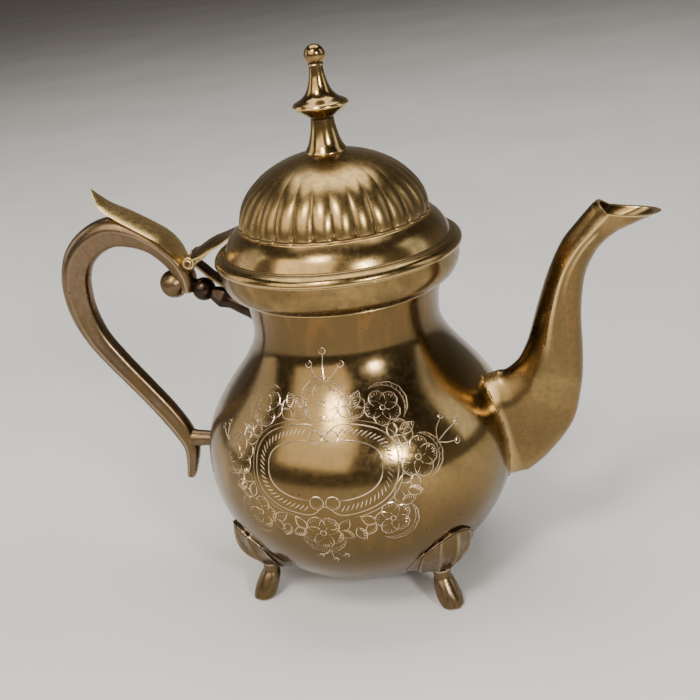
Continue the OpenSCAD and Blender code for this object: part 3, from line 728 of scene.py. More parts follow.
class TEAPOT_OT_collar(Operator):
    """Swelling band round the mouth, on which the lid lies"""
    bl_idname = "teapot.collar"
    bl_label = "Collar"

    def execute(self, context):
        size = Millimetres(context.scene.teapot_body)
        foot, top = COLLAR_LOW.z, COLLAR_HIGH.z
        inside, outside = size.neck_radius + size.neck_flare, COLLAR_HIGH.x
        bead, bead_h, edge_h, sheet = 1.0, 0.8, 3.8, size.wall
        tilt = np.radians(np.arange(0, 91, 5))[:, None]
        widen = top - foot - bead_h - edge_h
        bowl = np.hstack([inside + bead + (outside - inside - bead) * np.sin(tilt),
                          foot + bead_h + 0.35 + (widen - 0.35) * (1 - np.cos(tilt))])
        edge = [[outside, top - 1.5], [outside - 0.02, top - 0.9], [outside, top - 0.6], [outside, top]]
        inner = np.hstack([inside + bead - sheet + (outside - inside - bead) * np.sin(tilt),
                           foot + bead_h + 0.9 * sheet + widen * (1 - np.cos(tilt))])
        grip = [[inside, foot], [inside + bead, foot], [inside + bead + 0.35, foot + bead_h / 2],
                [inside + bead, foot + bead_h]]
        outline = np.vstack([grip, bowl, edge, [[outside - sheet, top]], inner[::-1],
                             [[inside, foot + bead_h + 0.9 * sheet]]])
        outline = filleted(outline, 0.3, steps=3, sharpest=30)

        def dents(azimuth, radius, height):
            deep = 0.10 * (1 + np.sin(5 * azimuth + 1) * np.sin(3 * azimuth + 0.4 * height))
            return radius - deep * smoothstep(height, foot + 2, foot + 6), height

        look = context.scene.teapot_brass
        material = brass("collar_brass", look.clean, look.tarnish, rough=0.15, cover=0.52, patch_scale=40,
                         streaks=0.25, pits=0.4, pit_spacing=600, mottle=0.3, rings=0.004, grime_and_shade=1.0)
        finish_piece("collar", Sketch().turned(outline, 256, dents), material,
                     replaces=["collar"], edge=0.8, groove=1.0)
        return {"FINISHED"}


# ---------- engraving ----------

CUT_STEP = 0.75          # distance between the points of a cut, in millimetres
CUT_SUNK = 0.06          # how deep the foot of a cut's ridge lies in the skin
CUT_CREST = 0.03         # width of the ridge's top


class Graver:
    """Cuts lines into the skin of the body.

    A line is given in millimetres about a middle, which is (azimuth, distance up the skin from the belly)."""

    def __init__(self, size, cut, front):
        self.size, self.cut, self.front = size, cut, front
        heights = np.linspace(BODY_LOW.z + 1, BODY_HIGH.z, 600)
        radii = body_radius(size, heights)
        along = np.concatenate([[0], np.cumsum(np.hypot(np.diff(heights), np.diff(radii)))])
        self.heights, self.along = heights, along - np.interp(size.belly_height, heights, along)
        self.sketch, self.shade = Sketch(), []

    def radius(self, up):
        """Radius of the body at a distance up its skin."""
        return float(body_radius(self.size, np.interp(up, self.along, self.heights)))

    def skin(self, middle, line, lift):
        """Points on the skin for a line of (across, up) in millimetres about the middle, raised by lift."""
        z = np.interp(middle[1] + line[:, 1], self.along, self.heights)
        azimuth = self.front + middle[0] + line[:, 0] / body_radius(self.size, z)
        small = 0.05
        r = body_skin(self.size, azimuth, z)
        slope = (body_radius(self.size, z + small) - body_radius(self.size, z - small)) / (2 * small)
        out = np.stack([np.cos(azimuth), np.sin(azimuth), -slope], axis=1)
        out /= np.linalg.norm(out, axis=1, keepdims=True)
        place = np.stack([r * np.cos(azimuth), r * np.sin(azimuth), z], axis=1)
        return place + lift * out, out

    def stroke(self, middle, line, width=1.0, closed=False):
        """One cut: a low ridge sunk into the skin, pointed at its open ends; one of its two faces is painted
        dark as a painted shadow.
        """
        line = resample(line, CUT_STEP)
        if closed:
            line = np.vstack([line, line[1:2]])
        place, out = self.skin(middle, line, 0)
        side = np.cross(out, directions(place))
        ends = np.ones(len(line))
        if not closed:
            along = np.linspace(0, 1, len(line))
            ends = 0.25 + 0.75 * np.minimum(1, np.minimum(along, 1 - along) * 6)
        half = (self.cut.cut_width * width / 2 * ends)[:, None]
        high = (self.cut.burr * ends)[:, None]
        sunk = place - CUT_SUNK * out
        crest = place + high * out
        corners = [sunk - half * side, crest, crest + CUT_CREST * side, sunk + half * side]
        self.sketch.loft(np.stack(corners, axis=1))
        # Painted shadow: the two corners on one side of the crest are marked 1, so that face turns dark
        # beside the bright one.
        self.shade += [0.0, 0.0, 1.0, 1.0] * len(line) + [0.0, 0.0]

    def ring(self, middle, radius, centre=(0, 0), start=0, end=360, width=1.0):
        """An arc from start to end in degrees, or a whole ring."""
        turn = np.radians(np.linspace(start, end, max(6, int(abs(end - start) / 18))))
        line = np.stack([centre[0] + radius * np.cos(turn), centre[1] + radius * np.sin(turn)], axis=1)
        self.stroke(middle, line, width, closed=abs(end - start) >= 360)

    def flower(self, middle, radius, turn):
        """Five round petals with short shading cuts, round a small eye."""
        self.ring(middle, 0.14 * radius)
        for k in range(5):
            way = turn + 2 * math.pi * k / 5
            go = np.array([math.cos(way), math.sin(way)])
            across = np.array([-go[1], go[0]])
            petal = radius * (0.44 if k % 2 else 0.48)
            centre = (radius - petal) * go
            sweep = np.radians(np.linspace(-128, 128, 15))[:, None]
            frill = 1 + 0.05 * np.cos(9 * sweep)
            rim = np.cos(sweep) * go + np.sin(sweep) * across
            self.stroke(middle, centre + petal * frill * rim)
            for step in range(-5, 6):
                lean = math.radians(16 * step)
                ray = math.cos(lean) * go + math.sin(lean) * across
                inner = 0.42 + 0.05 * abs(step) + 0.14 * (step % 2)
                cut = np.array([centre + petal * 0.93 * ray, centre + petal * inner * ray])
                self.stroke(middle, cut, 0.7)
            vein = np.array([0.2 * radius * go, 0.42 * radius * go + 0.05 * radius * across])
            self.stroke(middle, vein, 0.7)

    def leaf(self, middle, base, way, size):
        """A pointed leaf with one shaded half."""
        go = np.array([math.cos(way), math.sin(way)])
        across = np.array([-go[1], go[0]])
        base = np.array(base, float)
        share = np.linspace(0, 1, 12)[:, None]
        for side in (-1, 1):
            bulge = 0.3 * size * np.sin(math.pi * share ** 0.8)
            self.stroke(middle, base + size * share * go + side * bulge * across)
        for part in np.linspace(0.22, 0.86, 6):
            rim = base + size * part * go + 0.28 * size * math.sin(math.pi * part ** 0.8) * across
            self.stroke(middle, np.array([rim, rim - 0.2 * size * across - 0.1 * size * go]), 0.65)

    def sprig(self, middle, base, tip, curl):
        """A bent stem with a small open loop at its tip."""
        base, tip = np.array(base, float), np.array(tip, float)
        go = tip - base
        across = np.array([-go[1], go[0]])
        self.stroke(middle, spline([base, base + 0.5 * go + 0.1 * curl * across, tip], 8))
        self.ring(middle, 1.25, tip + go / np.linalg.norm(go), -200, 100)
        self.ring(middle, 0.5, tip + go / np.linalg.norm(go), 0, 300, width=0.7)


def lobed_oval(half_width, half_height, pinch, count=160):
    """A wide oval whose top and bottom dip in the middle."""
    turn = np.linspace(0, 2 * math.pi, count)
    u = half_width * np.sign(np.cos(turn)) * np.abs(np.cos(turn)) ** 0.86
    v = half_height * np.sign(np.sin(turn)) * np.abs(np.sin(turn)) ** 0.78
    return np.stack([u, v * (1 - pinch * np.exp(-(u / 3.6) ** 2))], axis=1)


def runs(line, keep):
    """The stretches of a line whose points are kept."""
    out, now = [], []
    for point, good in zip(line, keep):
        if good:
            now.append(point)
        elif len(now) > 1:
            out.append(np.array(now))
            now = []
        else:
            now = []
    return out + ([np.array(now)] if len(now) > 1 else [])


class TEAPOT_OT_engraving(Operator):
    """Oval cartouche with a wreath of flowers, on both sides of the belly"""
    bl_idname = "teapot.engraving"
    bl_label = "Engraving"

    def execute(self, context):
        size, cut = Millimetres(context.scene.teapot_body), Millimetres(context.scene.teapot_engraving)
        look = context.scene.teapot_brass
        # Here the grime strength sets how far the painted shadow along each cut turns towards soot.
        material = brass("cut_brass", look.cut, look.bright, rough=0.22, cover=0.4, patch_scale=60, pits=0.0,
                         mottle=0.3, wear=0.0, grime_and_shade=0.85)
        for name, front in (("engraving_front", FRONT), ("engraving_rear", -FRONT)):
            graver = Graver(size, cut, front + math.radians(1.8))
            self.cartouche(graver, cut)
            self.wreath(graver, cut)
            # shade marks the painted shadow on one face of each cut.
            finish_piece(name, graver.sketch, material, sharp=20, shade=graver.shade)
        return {"FINISHED"}

    def cartouche(self, graver, cut):
        middle = (0, cut.up)
        wide, high = cut.half_width, cut.half_height
        graver.stroke(middle, lobed_oval(wide, high, 0.24), 1.3, closed=True)
        outer = lobed_oval(wide + 1.7, high + 1.6, 0.2)
        for line in runs(outer, np.abs(outer[:, 0]) > 0.34 * wide):
            graver.stroke(middle, line, 0.9)
        inner = lobed_oval(0.79 * wide, 0.66 * high, 0.0)
        for line in runs(inner, np.abs(inner[:, 0]) > 5.2):
            graver.stroke(middle, line, 1.4)
        bead = 2.55
        for side in (-1, 1):
            for v in (0.7 * high, -0.7 * high):
                graver.ring(middle, bead, (side * (bead + 0.55), v), width=1.1)
                graver.ring(middle, bead - 0.7, (side * (bead + 0.55), v), 200, 340, width=0.7)
        rope = resample(lobed_oval(0.9 * wide, 0.85 * high, 0.0, 400), 1.8)
        go = directions(rope)
        for point, way in zip(rope[:-1], go[:-1]):
            if abs(point[0]) < 6.4:
                continue
            slant = np.array([0.62 * way[0] - 0.78 * way[1], 0.78 * way[0] + 0.62 * way[1]])
            graver.stroke(middle, np.array([point - 1.5 * slant, point + 1.5 * slant]), 1.3)

    def scroll_leaf(self, graver, middle, outward, petal):
        """A curved leaf that embraces the outer side of a flower, with cuts between its two edges."""
        sweep = np.radians(np.linspace(-76, 76, 36))[:, None]
        around = np.hstack([np.cos(outward + sweep), np.sin(outward + sweep)])
        swell = 0.2 * np.cos(1.18 * sweep) * (1 + 0.12 * np.cos(14 * sweep))
        graver.stroke(middle, 1.2 * petal * around, 0.9)
        graver.stroke(middle, (1.22 + swell) * petal * around, 1.1)
        for k in range(2, 34, 3):
            base = 1.22 * petal * around[k]
            tip = (1.2 + 0.8 * swell[k]) * petal * around[min(k + 2, 35)]
            graver.stroke(middle, np.array([base, tip]), 0.7)

    def wreath(self, graver, cut):
        """Eight flowers with leaves and scrolls, and curled sprigs at the four sides.

        Each flower stands at degrees round the belly and millimetres up, both from the oval's middle."""
        petal = cut.flower_radius
        flowers = [(-1.5, 25.2), (26, 21.6), (34.5, 0.5), (22.5, -21), (-2, -25.4), (-25.5, -19.5),
                   (-36.5, 0.5), (-29, 21)]
        for k, (degrees, up) in enumerate(flowers):
            middle = (math.radians(degrees), cut.up + up)
            outward = math.atan2(up, degrees * 1.05)
            graver.flower(middle, petal * (1.08 if k % 2 == 0 else 0.96), outward)
            self.scroll_leaf(graver, middle, outward, petal)
            following, next_up = flowers[(k + 1) % len(flowers)]
            halfway = (math.radians(degrees + following) / 2, cut.up + (up + next_up) / 2)
            apart = np.array([math.radians(following - degrees) * graver.radius(halfway[1]), next_up - up])
            way = math.atan2(apart[1], apart[0])
            for start, lean in ((-0.5, 0), (0.5, math.pi)):
                base = start * apart * (1 - 1.9 * petal / np.linalg.norm(apart))
                for side in (-1, 1):
                    graver.leaf(halfway, base, way + lean + side * 0.75, 0.9 * petal)
            outward = math.atan2(halfway[1] - cut.up, math.degrees(halfway[0]))
            graver.leaf(halfway, [0, 0], outward, 0.95 * petal)
        sprigs = [
            ((-1, 33.5), [(-5.5, 6), (-0.4, 11), (5.5, 6)]),
            ((43.5, 3.5), [(5, 8), (10, 4), (7.5, -2)]),
            ((-45, 3.5), [(-4.5, 6), (-8, 3.5)]),
            ((-1, -34), [(-4, -3.6), (0.5, -5.6), (4.5, -3.2)]),
        ]
        for (degrees, up), tips in sprigs:
            middle = (math.radians(degrees), cut.up + up)
            for k, tip in enumerate(tips):
                graver.sprig(middle, (0, 0), tip, 1.4 - k)


# ---------- lid ----------

class TEAPOT_OT_lid_brim(Operator):
    """Spun brim and convex shoulder of the lid"""
    bl_idname = "teapot.lid_brim"
    bl_label = "Lid brim"

    def execute(self, context):
        lid = Millimetres(context.scene.teapot_lid)
        sheet = context.scene.teapot_body.wall / MM
        under, edge = BRIM_LOW.z, BRIM_HIGH.x
        ridge, top, dome = lid.ridge_radius, lid.shoulder_top, lid.dome_radius
        ridge_h = under + 4
        brim = [[edge - 0.45, under], [edge - 0.08, under + 0.3], [edge, under + 0.75],
                [edge - 0.08, under + 1.4],
                [edge - 0.4, under + 2.1], [edge - 0.95, under + 2.75], [edge - 1.7, under + 3.25],
                [edge - 2.6, under + 3.6], [ridge + 0.5, ridge_h - 0.14], [ridge + 0.22, ridge_h - 0.02],
                [ridge + 0.08, ridge_h + 0.22], [ridge - 0.12, ridge_h + 0.26], [ridge - 0.3, ridge_h + 0.12]]
        share = np.linspace(0.02, 1, 26)[:, None]
        bulge = 0.9 * np.sin(math.pi * share)
        foot = dome + 0.6
        shoulder = np.hstack([ridge - 0.4 + share * (foot + 0.4 - ridge) + 0.8 * bulge,
                              ridge_h + share * (top - ridge_h) + 0.6 * bulge])
        outer = np.vstack([brim, shoulder, [[foot - 0.3, top + 0.02], [dome - 1.2, top]]])
        inner = shifted(shoulder, sheet)
        hollow = BEZEL_HIGH.x - sheet
        outline = np.vstack([outer, [[dome - 1.2, top - sheet]], inner[::-1][1:-2],
                             [[hollow, under + sheet], [hollow, under]]])
        outline = filleted(outline, 0.25, steps=3, sharpest=40)

        def dents(azimuth, radius, height):
            deep = 0.12 * (1 + np.sin(4 * azimuth + 2) * np.cos(7 * azimuth - 1))
            share = smoothstep(radius, ridge - 3, edge) * smoothstep(height, under, under + 1)
            return radius, height - deep * share

        look = context.scene.teapot_brass
        material = brass("brim_brass", look.clean, look.tarnish, rough=0.17, cover=0.42, patch_scale=34,
                         pits=0.8, pit_spacing=640, mottle=0.3, rings=0.004)
        finish_piece("lid_brim", Sketch().turned(outline, 288, dents), material, "lid",
                     ["lid_brim"], edge=0.7, groove=0.7)
        return {"FINISHED"}


class TEAPOT_OT_lid_dome(Operator):
    """Fluted dome of the lid"""
    bl_idname = "teapot.lid_dome"
    bl_label = "Lid dome"

    def execute(self, context):
        lid = Millimetres(context.scene.teapot_lid)
        sheet = context.scene.teapot_body.wall / MM
        foot, radius = lid.shoulder_top, lid.dome_radius
        rise, hole = DOME_HIGH.z - foot, 2.1
        tilt = np.radians(np.linspace(2.2, math.degrees(math.acos(hole / radius)), 66))[:, None]
        ring = [[radius - 1.4, foot], [radius + 0.15, foot], [radius + 0.35, foot + 0.3],
                [radius + 0.1, foot + 0.62], [radius - 0.35, foot + 0.75]]
        outer = np.hstack([radius * np.cos(tilt), foot + rise * np.sin(tilt)])
        inner = np.hstack([(radius - sheet) * np.cos(tilt), foot + (rise - sheet) * np.sin(tilt)])
        outline = np.vstack([ring, outer, inner[::-3], [[radius - 1.4 - sheet, foot]]])
        count = context.scene.teapot_lid.flutes

        def flutes(azimuth, r, z):
            share = np.clip((z - foot) / rise, 0, 1)
            climb = np.degrees(np.arcsin(share))
            lobe = np.abs(np.sin(count * azimuth / 2)) ** 0.75
            deep = lid.flute_depth * (1 - smoothstep(climb, 4, 62)) ** 1.1 * smoothstep(climb, 1, 4)
            notch = 0.8 * np.exp(-((climb - 3) / 3.5) ** 2) * (1 - lobe) ** 2
            outside = r > (radius - sheet / 2) * np.sqrt(np.maximum(0, 1 - share ** 2))
            inwards = (deep * (1 - lobe) + notch) * outside
            return r - inwards, z - 0.25 * inwards * share

        look = context.scene.teapot_brass
        material = brass("dome_brass", look.clean, look.tarnish, rough=0.23, cover=0.42, patch_scale=36,
                         pits=0.4, pit_spacing=600, mottle=0.3, grime_and_shade=0.6)
        finish_piece("lid_dome", Sketch().turned(outline, count * 20, flutes), material, "lid",
                     ["lid_dome"], sharp=60, edge=0.8, groove=0.9)
        return {"FINISHED"}


class TEAPOT_OT_finial(Operator):
    """Turned finial with its disc, stem and ball"""
    bl_idname = "teapot.finial"
    bl_label = "Finial"

    def execute(self, context):
        sunk, ball, stud_radius = 0.6, 4.0, 2
        foot = DOME_HIGH.z - sunk
        rise, disc = FINIAL_HIGH.z - foot, FINIAL_HIGH.x
        line = spline([[8.1, 0.006], [7.9, 0.02], [6.3, 0.09], [5.1, 0.2], [4.55, 0.3], [4.7, 0.325],
                       [6.4, 0.352], [9.4, 0.405], [disc - 0.2, 0.432], [disc, 0.445], [disc - 0.2, 0.458],
                       [9.8, 0.475], [6.6, 0.52], [4.4, 0.595], [3.1, 0.7], [2.65, 0.785], [2.75, 0.80],
                       [3.0, 0.812]], 6)
        turn = np.radians(np.arange(-48, 91, 6))[:, None]
        knob = np.hstack([ball * np.cos(turn), (rise - ball + ball * np.sin(turn)) / rise])
        knob[-1, 0] = 0
        line = np.vstack([[[0, -0.03], [7.6, -0.015]], line, knob])
        line[:, 1] = foot + rise * line[:, 1]
        low, high = FINIAL_LOW.z, DOME_HIGH.z - 0.5
        sketch = Sketch().turned(line, 96)
        sketch.turned(filleted([[0, low], [stud_radius, low], [stud_radius, high], [0, high]], 0.3), 32)
        look = context.scene.teapot_brass
        material = brass("finial_brass", look.clean, look.tarnish, rough=0.13, cover=0.42, patch_scale=70,
                         pits=0.08, mottle=0.25, rings=0.006)
        finish_piece("finial", sketch, material, "lid", ["finial"], edge=0.9, groove=1.6)
        return {"FINISHED"}


# ---------- spout ----------

DRAWN_REACH, DRAWN_RISE = 59.3, 93.9    # reach and rise of the spout's tip in the outlines below
# Each section: inner point, outer point (out from the belly, up from the belly),
# half width, and how far along the section its sharp side edges lie
SPOUT_SECTIONS = [
    [-4, 31, 6, -12.8, 9.6, 0.285], [-0.8, 31.6, 14.5, -5, 9.5, 0.3], [4, 35.7, 24.4, 9, 9.2, 0.32],
    [7, 41, 28.4, 25, 9, 0.34], [9.2, 46.4, 29.4, 38.5, 8.7, 0.34], [13.4, 60.2, 29.4, 55.5, 8.2, 0.35],
    [18.3, 73.8, 31.4, 70, 7.8, 0.37], [23.4, 84, 35.4, 78.8, 7.6, 0.42], [29.4, 91.4, 39.6, 83.8, 7.5, 0.44],
    [34.7, 97.4, 44.4, 87.3, 7.4, 0.42],
]
TONGUE_END, EDGE_END, TIP = [36.6, 98.8], [40.5, 95.2], [DRAWN_REACH, DRAWN_RISE]
ROOT_ABOVE, ROOT_BELOW = 0.93, 1.2      # heights of the root from the belly, as shares of the drawn ones
BEAK_SAG = 1.6                          # four times how far the beak's edge sags in its middle
SPOUT_SHEET = 1.3


class SpoutForm:
    """Rings of points along the swan-neck spout, from its root on the body to its open beak."""

    def __init__(self, size):
        self.size = size
        self.reach = (SPOUT_HIGH.x - size.belly_radius) / DRAWN_REACH
        self.rise = (SPOUT_HIGH.z - size.belly_height) / TONGUE_END[1]
        face = [[y * y, y, -1] for y in np.linspace(-1, 1, 15)]
        keel = [[math.sin(a), math.cos(a), a] for a in np.radians(np.arange(4, 180, 4))]
        self.shape = np.array(face + keel)

    def at(self, point):
        """Where a drawn point lies: out from the axis, and up from the table."""
        size = self.size
        return np.array([size.belly_radius + point[0] * self.reach, size.belly_height + point[1] * self.rise])

    def section(self, station, inset, groove=0.0):
        inner, outer = self.at(station[0:2]), self.at(station[2:4])
        go = (outer - inner) / np.linalg.norm(outer - inner)
        top, deep = inner + inset * go, outer - inset * go
        wide, crease = station[4] - inset, station[5]
        flat, turn = self.shape[:, 2] < 0, self.shape[:, 2]
        share = np.where(flat, crease * self.shape[:, 0], crease + (1 - crease) * self.shape[:, 0])
        line = top + share[:, None] * (deep - top)
        notch = np.exp(-((np.minimum(turn, math.pi - turn) - 0.20) / 0.06) ** 2) * (turn > 0)
        across = wide * self.shape[:, 1] - groove * notch * np.sign(self.shape[:, 1])
        return np.stack([line[:, 0], across, line[:, 1]], axis=1)

    def root(self, inset, sunk=0.3):
        """The first section brought on to the body's skin, lower at its top and its bottom than drawn."""
        ring = self.section(SPOUT_SECTIONS[0], inset)
        up = ring[:, 2] - self.size.belly_height
        z = self.size.belly_height + up * np.where(up > 0, ROOT_ABOVE, ROOT_BELOW)
        out = np.sqrt((body_radius(self.size, z) - sunk) ** 2 - ring[:, 1] ** 2)
        return np.stack([out, ring[:, 1], z], axis=1)

    def mouth(self, inset):
        """Across the end of the tongue, then along both edges of the beak to its tip."""
        last, shape = SPOUT_SECTIONS[-1], self.shape
        tongue, edge, tip = self.at(TONGUE_END), self.at(EDGE_END), self.at(TIP) - [1.6 * inset, 0]
        wide = last[4] - inset
        start = tongue + inset * (edge - tongue) / np.linalg.norm(edge - tongue)
        points = []
        for share, across, turn in shape:
            if turn < 0:
                place = start + share * (edge - start)
                points.append([place[0], wide * across, place[1]])
                continue
            f = share ** 1.25
            place = edge + f * (tip - edge) - [0, BEAK_SAG * f * (1 - f)]
            half = wide * max(0, 1 - f ** 4) ** 0.55
            points.append([place[0], math.copysign(half, across), place[1]])
        return np.array(points)

    def rings(self, inset, beak_rows=14):
        stations = spline(SPOUT_SECTIONS, 10)
        rings = [self.root(inset)]
        for k, station in enumerate(stations):
            share = k / len(stations)
            groove = 0.22 * smoothstep(share, 0.3, 0.45) * (1 - smoothstep(share, 0.86, 0.96)) * (inset == 0)
            rings.append(self.section(station, inset, groove))
        last, mouth = rings[-1], self.mouth(inset)
        return rings + [last + (mouth - last) * k / beak_rows for k in range(1, beak_rows + 1)]


class TEAPOT_OT_spout(Operator):
    """Swan-neck spout with sharp side edges, open beak and a lumpy solder seam"""
    bl_idname = "teapot.spout"
    bl_label = "Spout"

    def execute(self, context):
        size, look = Millimetres(context.scene.teapot_body), context.scene.teapot_brass
        form = SpoutForm(size)
        material = self.material(look)
        sketch = Sketch().pipe(form.rings(0.0), form.rings(SPOUT_SHEET))
        # A wide edge radius counts the sharp side edges as worn: they turn bright, as rubbed brass and as a
        # painted highlight along each crease.
        finish_piece("spout", sketch, material, replaces=["spout"], sharp=34, edge=1.6,
                     groove=1.1)
        root = form.root(-0.15, 0.35)
        seam = resample(np.vstack([root, root[:1]]), 0.7)[:-1]
        step = np.arange(len(seam))
        lumps = 0.62 + 0.14 * np.sin(step * 1.7) + 0.12 * np.sin(step * 0.61 + 2)
        solder = brass("solder", look.tarnish, look.soot_and_shade, rough=0.3, cover=0.5, patch_scale=120, pits=0.9,
                       pit_spacing=700, mottle=0.6, grain=0.05, bright=look.clean)
        finish_piece("spout_seam", Sketch().hoop(seam, lumps), solder, edge=0.6, groove=0.6)
        return {"FINISHED"}

    def material(self, look):
        """Well tarnished brass with faint amber streaks; its sharp side edges take the bright wear colour,
        rubbed brass with a painted highlight along each crease.
        """
        return brass("spout_brass", look.clean, look.tarnish, rough=0.17, cover=0.62, patch_scale=30,
                     streaks=0.3, pits=0.14, pit_spacing=480, mottle=0.35, wear=0.85)


# ---------- handle ----------

HANDLE_DRAWN = 82.8     # lug-to-pin height in the outlines below
# Middle line of the handle with its thickness and depth, from the head round to the tail
HANDLE_LINE = [
    [5.4, 68.5, 7, 0.8], [5.8, 74, 9, 0.95], [8.5, 80.5, 8.5, 1], [13.7, 86, 8.2, 1], [19.4, 90.3, 9, 1],
    [27.6, 93.8, 11.4, 1], [36.6, 94.8, 12.9, 1], [45.4, 91.2, 13, 1], [52.2, 84.9, 13, 1],
    [55.6, 76.7, 12.8, 1], [56.2, 68, 12.6, 1], [54.6, 58.5, 11.8, 0.97], [49.8, 47.3, 10.4, 0.94],
    [41.6, 36.1, 9.6, 0.92], [31.6, 24, 9.2, 0.9], [22.8, 12.8, 9.2, 0.88], [16.8, 3.5, 8.6, 0.85],
    [14, -4, 7, 0.75], [14.8, -12.5, 5, 0.62], [16.2, -18, 3.8, 0.5], [16.5, -19, 2.2, 0.35],
]
# Half of the handle's section: share of the thickness outwards, share of the half depth
HANDLE_HALF = [
    [0.5, 0], [0.492, 0.2], [0.468, 0.4], [0.425, 0.59], [0.36, 0.76], [0.28, 0.89], [0.2, 0.965],
    [0.145, 0.995], [0.115, 1], [0.09, 0.985], [0.05, 0.95], [-0.02, 0.905], [-0.12, 0.86],
    [-0.22, 0.81], [-0.31, 0.75],
    [-0.375, 0.685], [-0.43, 0.58], [-0.47, 0.42], [-0.493, 0.2], [-0.5, 0],
]
LEAF_LINE = [
    [2.6, 77.1, 1.6, 0.42], [5.5, 82.3, 1.7, 0.66], [8.6, 87.4, 1.8, 0.86], [13.5, 92.4, 1.8, 0.97],
    [21.8, 97.5, 1.8, 1], [29.8, 102, 1.8, 0.94], [36.4, 105.8, 1.6, 0.74], [39.9, 109.8, 1.2, 0.4],
    [42.2, 113.4, 0.4, 0.05],
]
SCROLL_AT, ARM_HEAD, LUG_END = [11.2, 71.6], [6.2, 72.5], [13.6, 0]
ARM_DROP, ARM_SUNK = 13, 3      # the arm's foot: below the collar's foot, and inside the neck
PIN_PLACE = (PIN_LOW + PIN_HIGH) / 2


def handle_place(size, lug_height, point):
    """From the handle's own outline to x and z: out from the line that joins lug and pin, up from the lug."""
    share = point[1] / HANDLE_DRAWN
    x = -size.belly_radius + share * (PIN_PLACE.x + size.belly_radius) - point[0]
    return np.array([x, lug_height + share * (PIN_PLACE.z - lug_height)])


def bar_rings(size, lug_height, line, half_depth, section, steps=8):
    """Rings across a line of [out, up, thickness, half depth], outwards being to the line's left."""
    stations = spline(line, steps)
    middle = np.array([handle_place(size, lug_height, s) for s in stations])
    go = directions(middle)
    out = np.stack([go[:, 1], -go[:, 0]], axis=1)
    section = np.asarray(section, float)
    reach = section[None, :, 0] * stations[:, 2:3]
    across = section[None, :, 1] * stations[:, 3:4] * half_depth
    x = middle[:, :1] + out[:, :1] * reach
    z = middle[:, 1:] + out[:, 1:] * reach
    return np.stack([x, across, z], axis=-1)


def stem(start, end, outline, turns=32, facets=0, faceted=(0, 0)):
    """Rings of an outline [radius, along] turned about the line from start to end.

    Between the two shares in faceted the round turns into a number of flat facets."""
    start, end = np.array(start, float), np.array(end, float)
    go = (end - start) / np.linalg.norm(end - start)
    side = np.array([0, 1.0, 0])
    other = np.cross(go, side)
    turn = np.linspace(0, 2 * math.pi, turns, endpoint=False)
    rings = []
    for radius, along in outline:
        r = radius + 0 * turn
        if facets and faceted[0] <= along <= faceted[1]:
            wedge = 2 * math.pi / facets
            r = radius * math.cos(wedge / 2) / np.cos((turn + wedge / 2) % wedge - wedge / 2)
        about = np.cos(turn)[:, None] * side + np.sin(turn)[:, None] * other
        rings.append(start + along * go + r[:, None] * about)
    return np.array(rings)


def kept_outside(size, rings, sunk):
    """Points that lie deeper in the body's wall than sunk are brought out to that depth."""
    r = np.hypot(rings[..., 0], rings[..., 1])
    least = body_radius(size, rings[..., 2]) - sunk
    grow = np.maximum(1, least / np.maximum(r, 1))
    rings[..., 0] *= grow
    rings[..., 1] *= grow
    return rings


